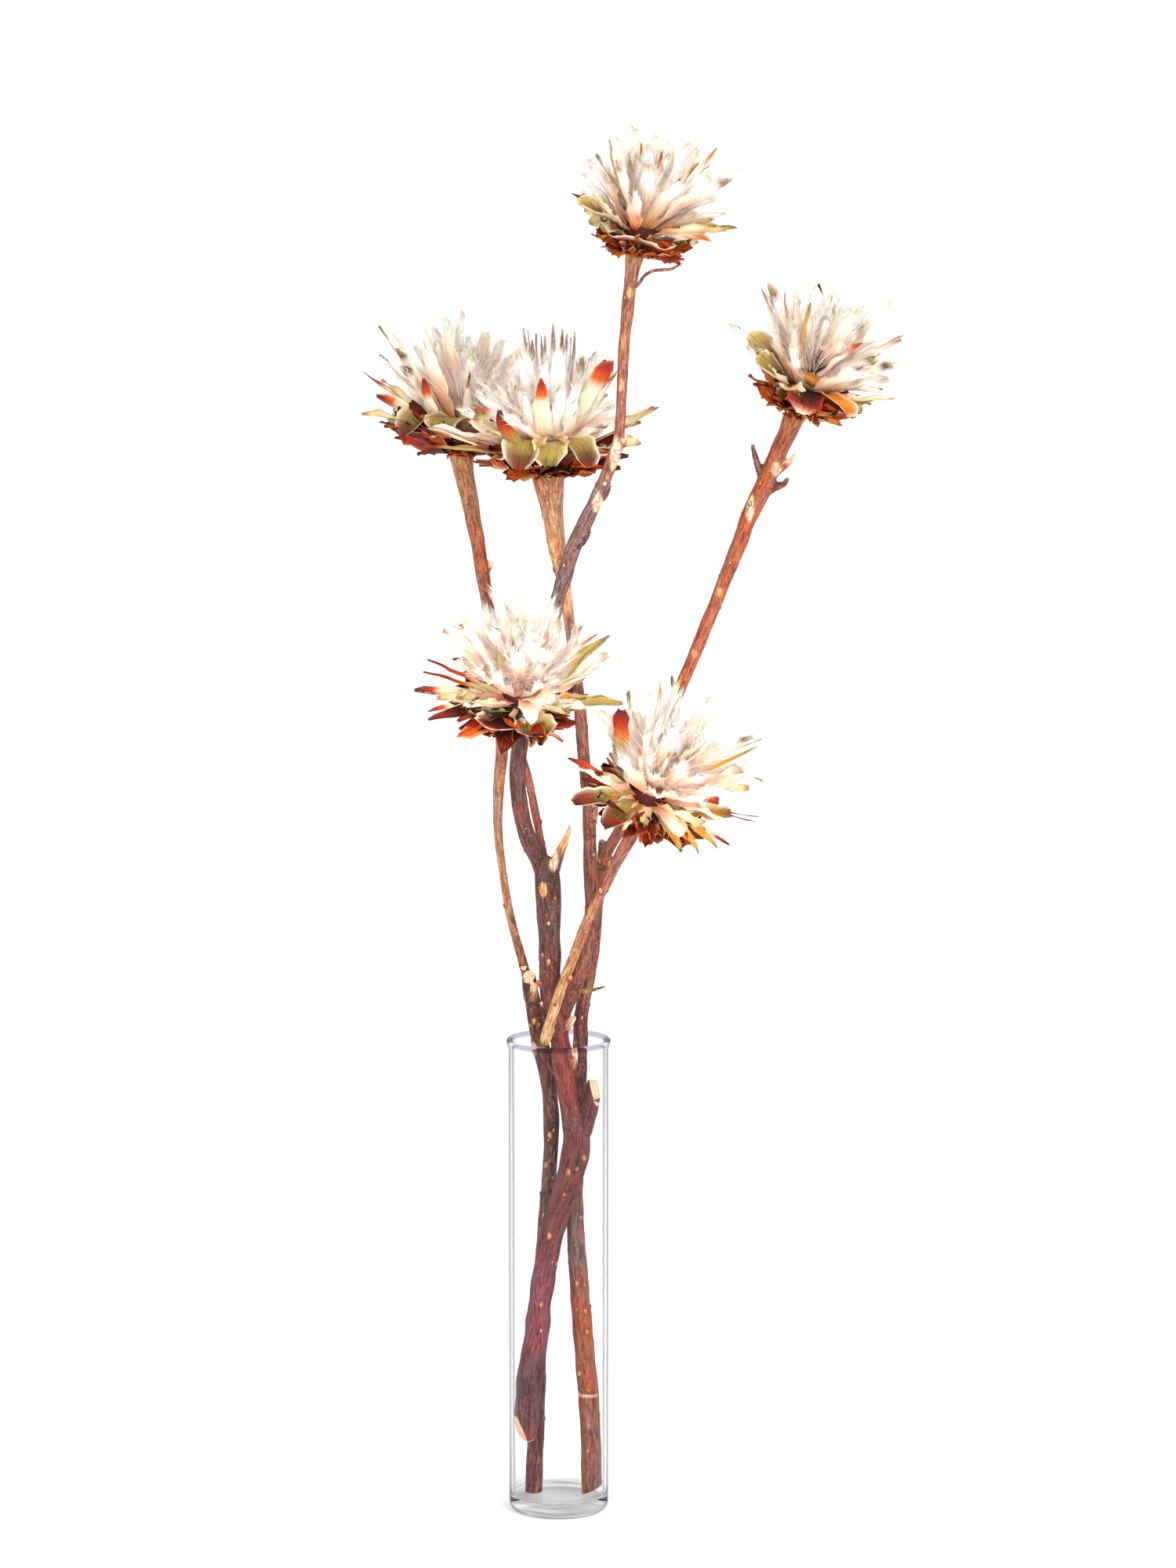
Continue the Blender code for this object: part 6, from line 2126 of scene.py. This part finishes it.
BRANCHES = (
    Branch(
        "branch_front",
        (
            Limb(TRUNK, (
                (0.0, Hue.BARK_RED), (0.05, Hue.BARK_PLUM), (0.12, Hue.BARK_PLUM), (0.18, Hue.BARK_PINK),
                (0.28, Hue.BARK_PINK), (0.38, Hue.BARK_MAROON), (0.56, Hue.BARK_MAROON),
                (0.64, Hue.BARK_RED), (0.74, Hue.BARK_MAROON), (0.9, Hue.BARK_DARK), (1.0, Hue.BARK_DARK),
            )),
            Limb(TRUNK_STUB, ((0.0, Hue.BARK_MAROON), (1.0, Hue.BARK_DARK))),
            Limb(TOP_LIMB, (
                (0.0, Hue.BARK_DARK), (0.2, Hue.BARK_DARK), (0.34, Hue.BARK_GREY), (0.62, Hue.BARK_GREY),
                (0.7, Hue.BARK_ROSE), (0.92, Hue.BARK_ROSE), (0.96, Hue.BARK_TAN), (1.0, Hue.BARK_STRAW),
            )),
            Limb(LOWER_LEFT_STEM, ((0.0, Hue.BARK_RED), (0.5, Hue.BARK_ROSE), (1.0, Hue.BARK_STRAW))),
            Limb(TRUNK_TIP_STUB, (
                (0.0, Hue.BARK_DARK), (0.4, Hue.BARK_BROWN), (0.7, Hue.LEAF_SCAR), (1.0, Hue.WOOD),
            )),
            Limb(CENTRE_LIMB, (
                (0.0, Hue.BARK_MAROON), (0.12, Hue.BARK_BROWN), (0.6, Hue.BARK_BROWN), (0.72, Hue.BARK_TAN),
                (0.8, Hue.BARK_STRAW), (1.0, Hue.BARK_TAN),
            )),
            Limb(LOWER_RIGHT_STEM, (
                (0.0, Hue.BARK_STRAW), (0.4, Hue.BARK_TAN), (0.7, Hue.BARK_ROSE), (1.0, Hue.BARK_ORANGE),
            )),
            Limb(TOP_TENDRIL, ((0.0, Hue.BARK_GREY), (1.0, Hue.BARK_TAN)), thin=True),
            *FRONT_TWIGS,
        ),
        (
            *seat_cuts(("top", "centre", "lower_left", "lower_right")),
            Cut((-22.0, -1.5, 44.0), (-1.0, -0.5, -0.42), 20.0),
            Cut((18.6, -4.6, 226.0), (0.9, -0.55, 0.4), 14.0),
        ),
        (
            Scar((-7.8, -12.0, 330.0), 4.8, 2.6, Hue.LEAF_SCAR),
            Scar((29.6, -31.4, 553.0), 13.0, 4.0),
            Scar((20.6, -25.2, 530.0), 10.5, 3.4),
            Scar((-2.6, -11.0, 347.0), 9.0, 2.8),
            Scar((-17.6, -1.4, 36.0), 1.6, 9.0),
            Scar((31.6, -33.6, 590.0), 4.0, 1.8, Hue.LEAF_SCAR),
            Scar((33.0, -34.6, 612.0), 5.0, 1.6, Hue.LEAF_SCAR),
            Scar((36.2, -33.6, 636.0), 3.0, 2.0, Hue.LEAF_SCAR),
        ),
        BarkFinish("bark_maroon", grey=0.28, warm=0.7, warm_hue=Hue.BARK_RED, pores=0.7),
        seed=7, buds=90,
        marks=(
            (-9.0, 111.0), (5.2, 182.5), (13.0, 190.0), (-4.6, 148.0), (-5.0, 292.0), (6.0, 285.0),
            (22.0, 332.0),
        ),
    ),
    Branch(
        "branch_left",
        (
            Limb(LEFT_LIMB, (
                (0.0, Hue.BARK_MAROON), (0.2, Hue.BARK_PLUM), (0.45, Hue.BARK_GREY), (0.7, Hue.BARK_DARK),
                (0.8, Hue.BARK_MAROON), (1.0, Hue.BARK_DARK),
            )),
            Limb(FAR_LEFT_STEM, (
                (0.0, Hue.BARK_BROWN), (0.1, Hue.BARK_BROWN), (0.2, Hue.BARK_TAN), (0.34, Hue.BARK_TAN),
                (0.44, Hue.BARK_ROSE), (0.6, Hue.BARK_BROWN), (0.8, Hue.BARK_ORANGE), (0.92, Hue.BARK_TAN),
                (1.0, Hue.BARK_STRAW),
            )),
            *LEFT_TWIGS,
        ),
        (
            *seat_cuts(("far_left",)),
            Cut((-13.3, 3.6, FLOOR_SEAT), (0.0, 0.0, -1.0), 40.0),
            Cut((-15.2, 5.8, 281.6), (-0.3, -0.75, 0.75), 12.0),
        ),
        (Scar((-29.6, 13.6, 366.0), 3.0, 1.6), Scar((-28.0, 18.0, 400.0), 4.0, 1.8, Hue.LEAF_SCAR)),
        BarkFinish("bark_brown", grey=0.3, warm=0.45, warm_hue=Hue.BARK_TAN, pores=0.7),
        seed=17, buds=60,
        marks=((-4.4, 198.0), (-7.6, 155.0), (-6.6, 182.0), (-12.6, 258.0)),
    ),
    Branch(
        "branch_right",
        (
            Limb(RIGHT_LIMB, (
                (0.0, Hue.BARK_BROWN), (0.07, Hue.BARK_BROWN), (0.1, Hue.BARK_ORANGE),
                (0.17, Hue.BARK_ORANGE), (0.22, Hue.BARK_GREY), (0.3, Hue.BARK_MAROON),
                (0.44, Hue.BARK_MAROON), (0.5, Hue.BARK_BROWN), (0.58, Hue.BARK_ORANGE),
                (0.95, Hue.BARK_ORANGE), (1.0, Hue.BARK_TAN),
            )),
            *RIGHT_TWIGS,
        ),
        (
            *seat_cuts(("right",)),
            Cut((17.8, 1.0, 9.4), (0.5, 0.0, -1.0), 40.0),
            Cut((17.5, 1.0, FLOOR_SEAT), (0.0, 0.0, -1.0), 40.0),
        ),
        (
            Scar((97.8, 6.4, 526.0), 10.0, 2.8), Scar((111.5, 4.8, 544.0), 5.0, 3.0),
            Scar((16.0, 2.3, 60.0), 0.9, 12.0), Scar((15.6, -3.6, 46.5), 4.6, 1.5, Hue.LEAF_SCAR),
            Scar((83.0, 10.0, 481.0), 3.0, 2.0, Hue.LEAF_SCAR),
            Scar((70.0, 12.2, 449.0), 3.0, 1.8, Hue.LEAF_SCAR),
            Scar((60.6, 13.6, 425.0), 3.0, 1.8, Hue.LEAF_SCAR),
            Scar((52.6, 14.4, 406.0), 2.6, 1.6, Hue.LEAF_SCAR),
        ),
        BarkFinish("bark_orange", grey=0.4, warm=0.9, warm_hue=Hue.BARK_ORANGE, pores=0.8),
        seed=27, buds=80,
        marks=((9.4, 120.0), (14.0, 105.0), (14.8, 94.0), (11.0, 72.0)),
    ),
)


def report(piece: bpy.types.Object) -> None:
    """Log a piece with its triangles."""
    mesh = piece.data
    triangles = sum(len(polygon.vertices) - 2 for polygon in mesh.polygons)
    log.info("%s: %d triangles", piece.name, triangles)


def main() -> None:
    """Build the studio, the vase, the branches and the blooms."""
    logging.basicConfig(level=logging.INFO, format="%(message)s")
    Studio().build()
    report(Vase().build())
    cut_wood = CutWoodFinish("cut_wood").material()
    for branch in BRANCHES:
        report(branch.build(cut_wood))
    materials = {layer: finish.material() for layer, finish in FINISHES.items()}
    for bloom in BLOOMS:
        for layer in Layer:
            report(bloom.build(layer, materials[layer]))


if __name__ == "__main__":
    main()
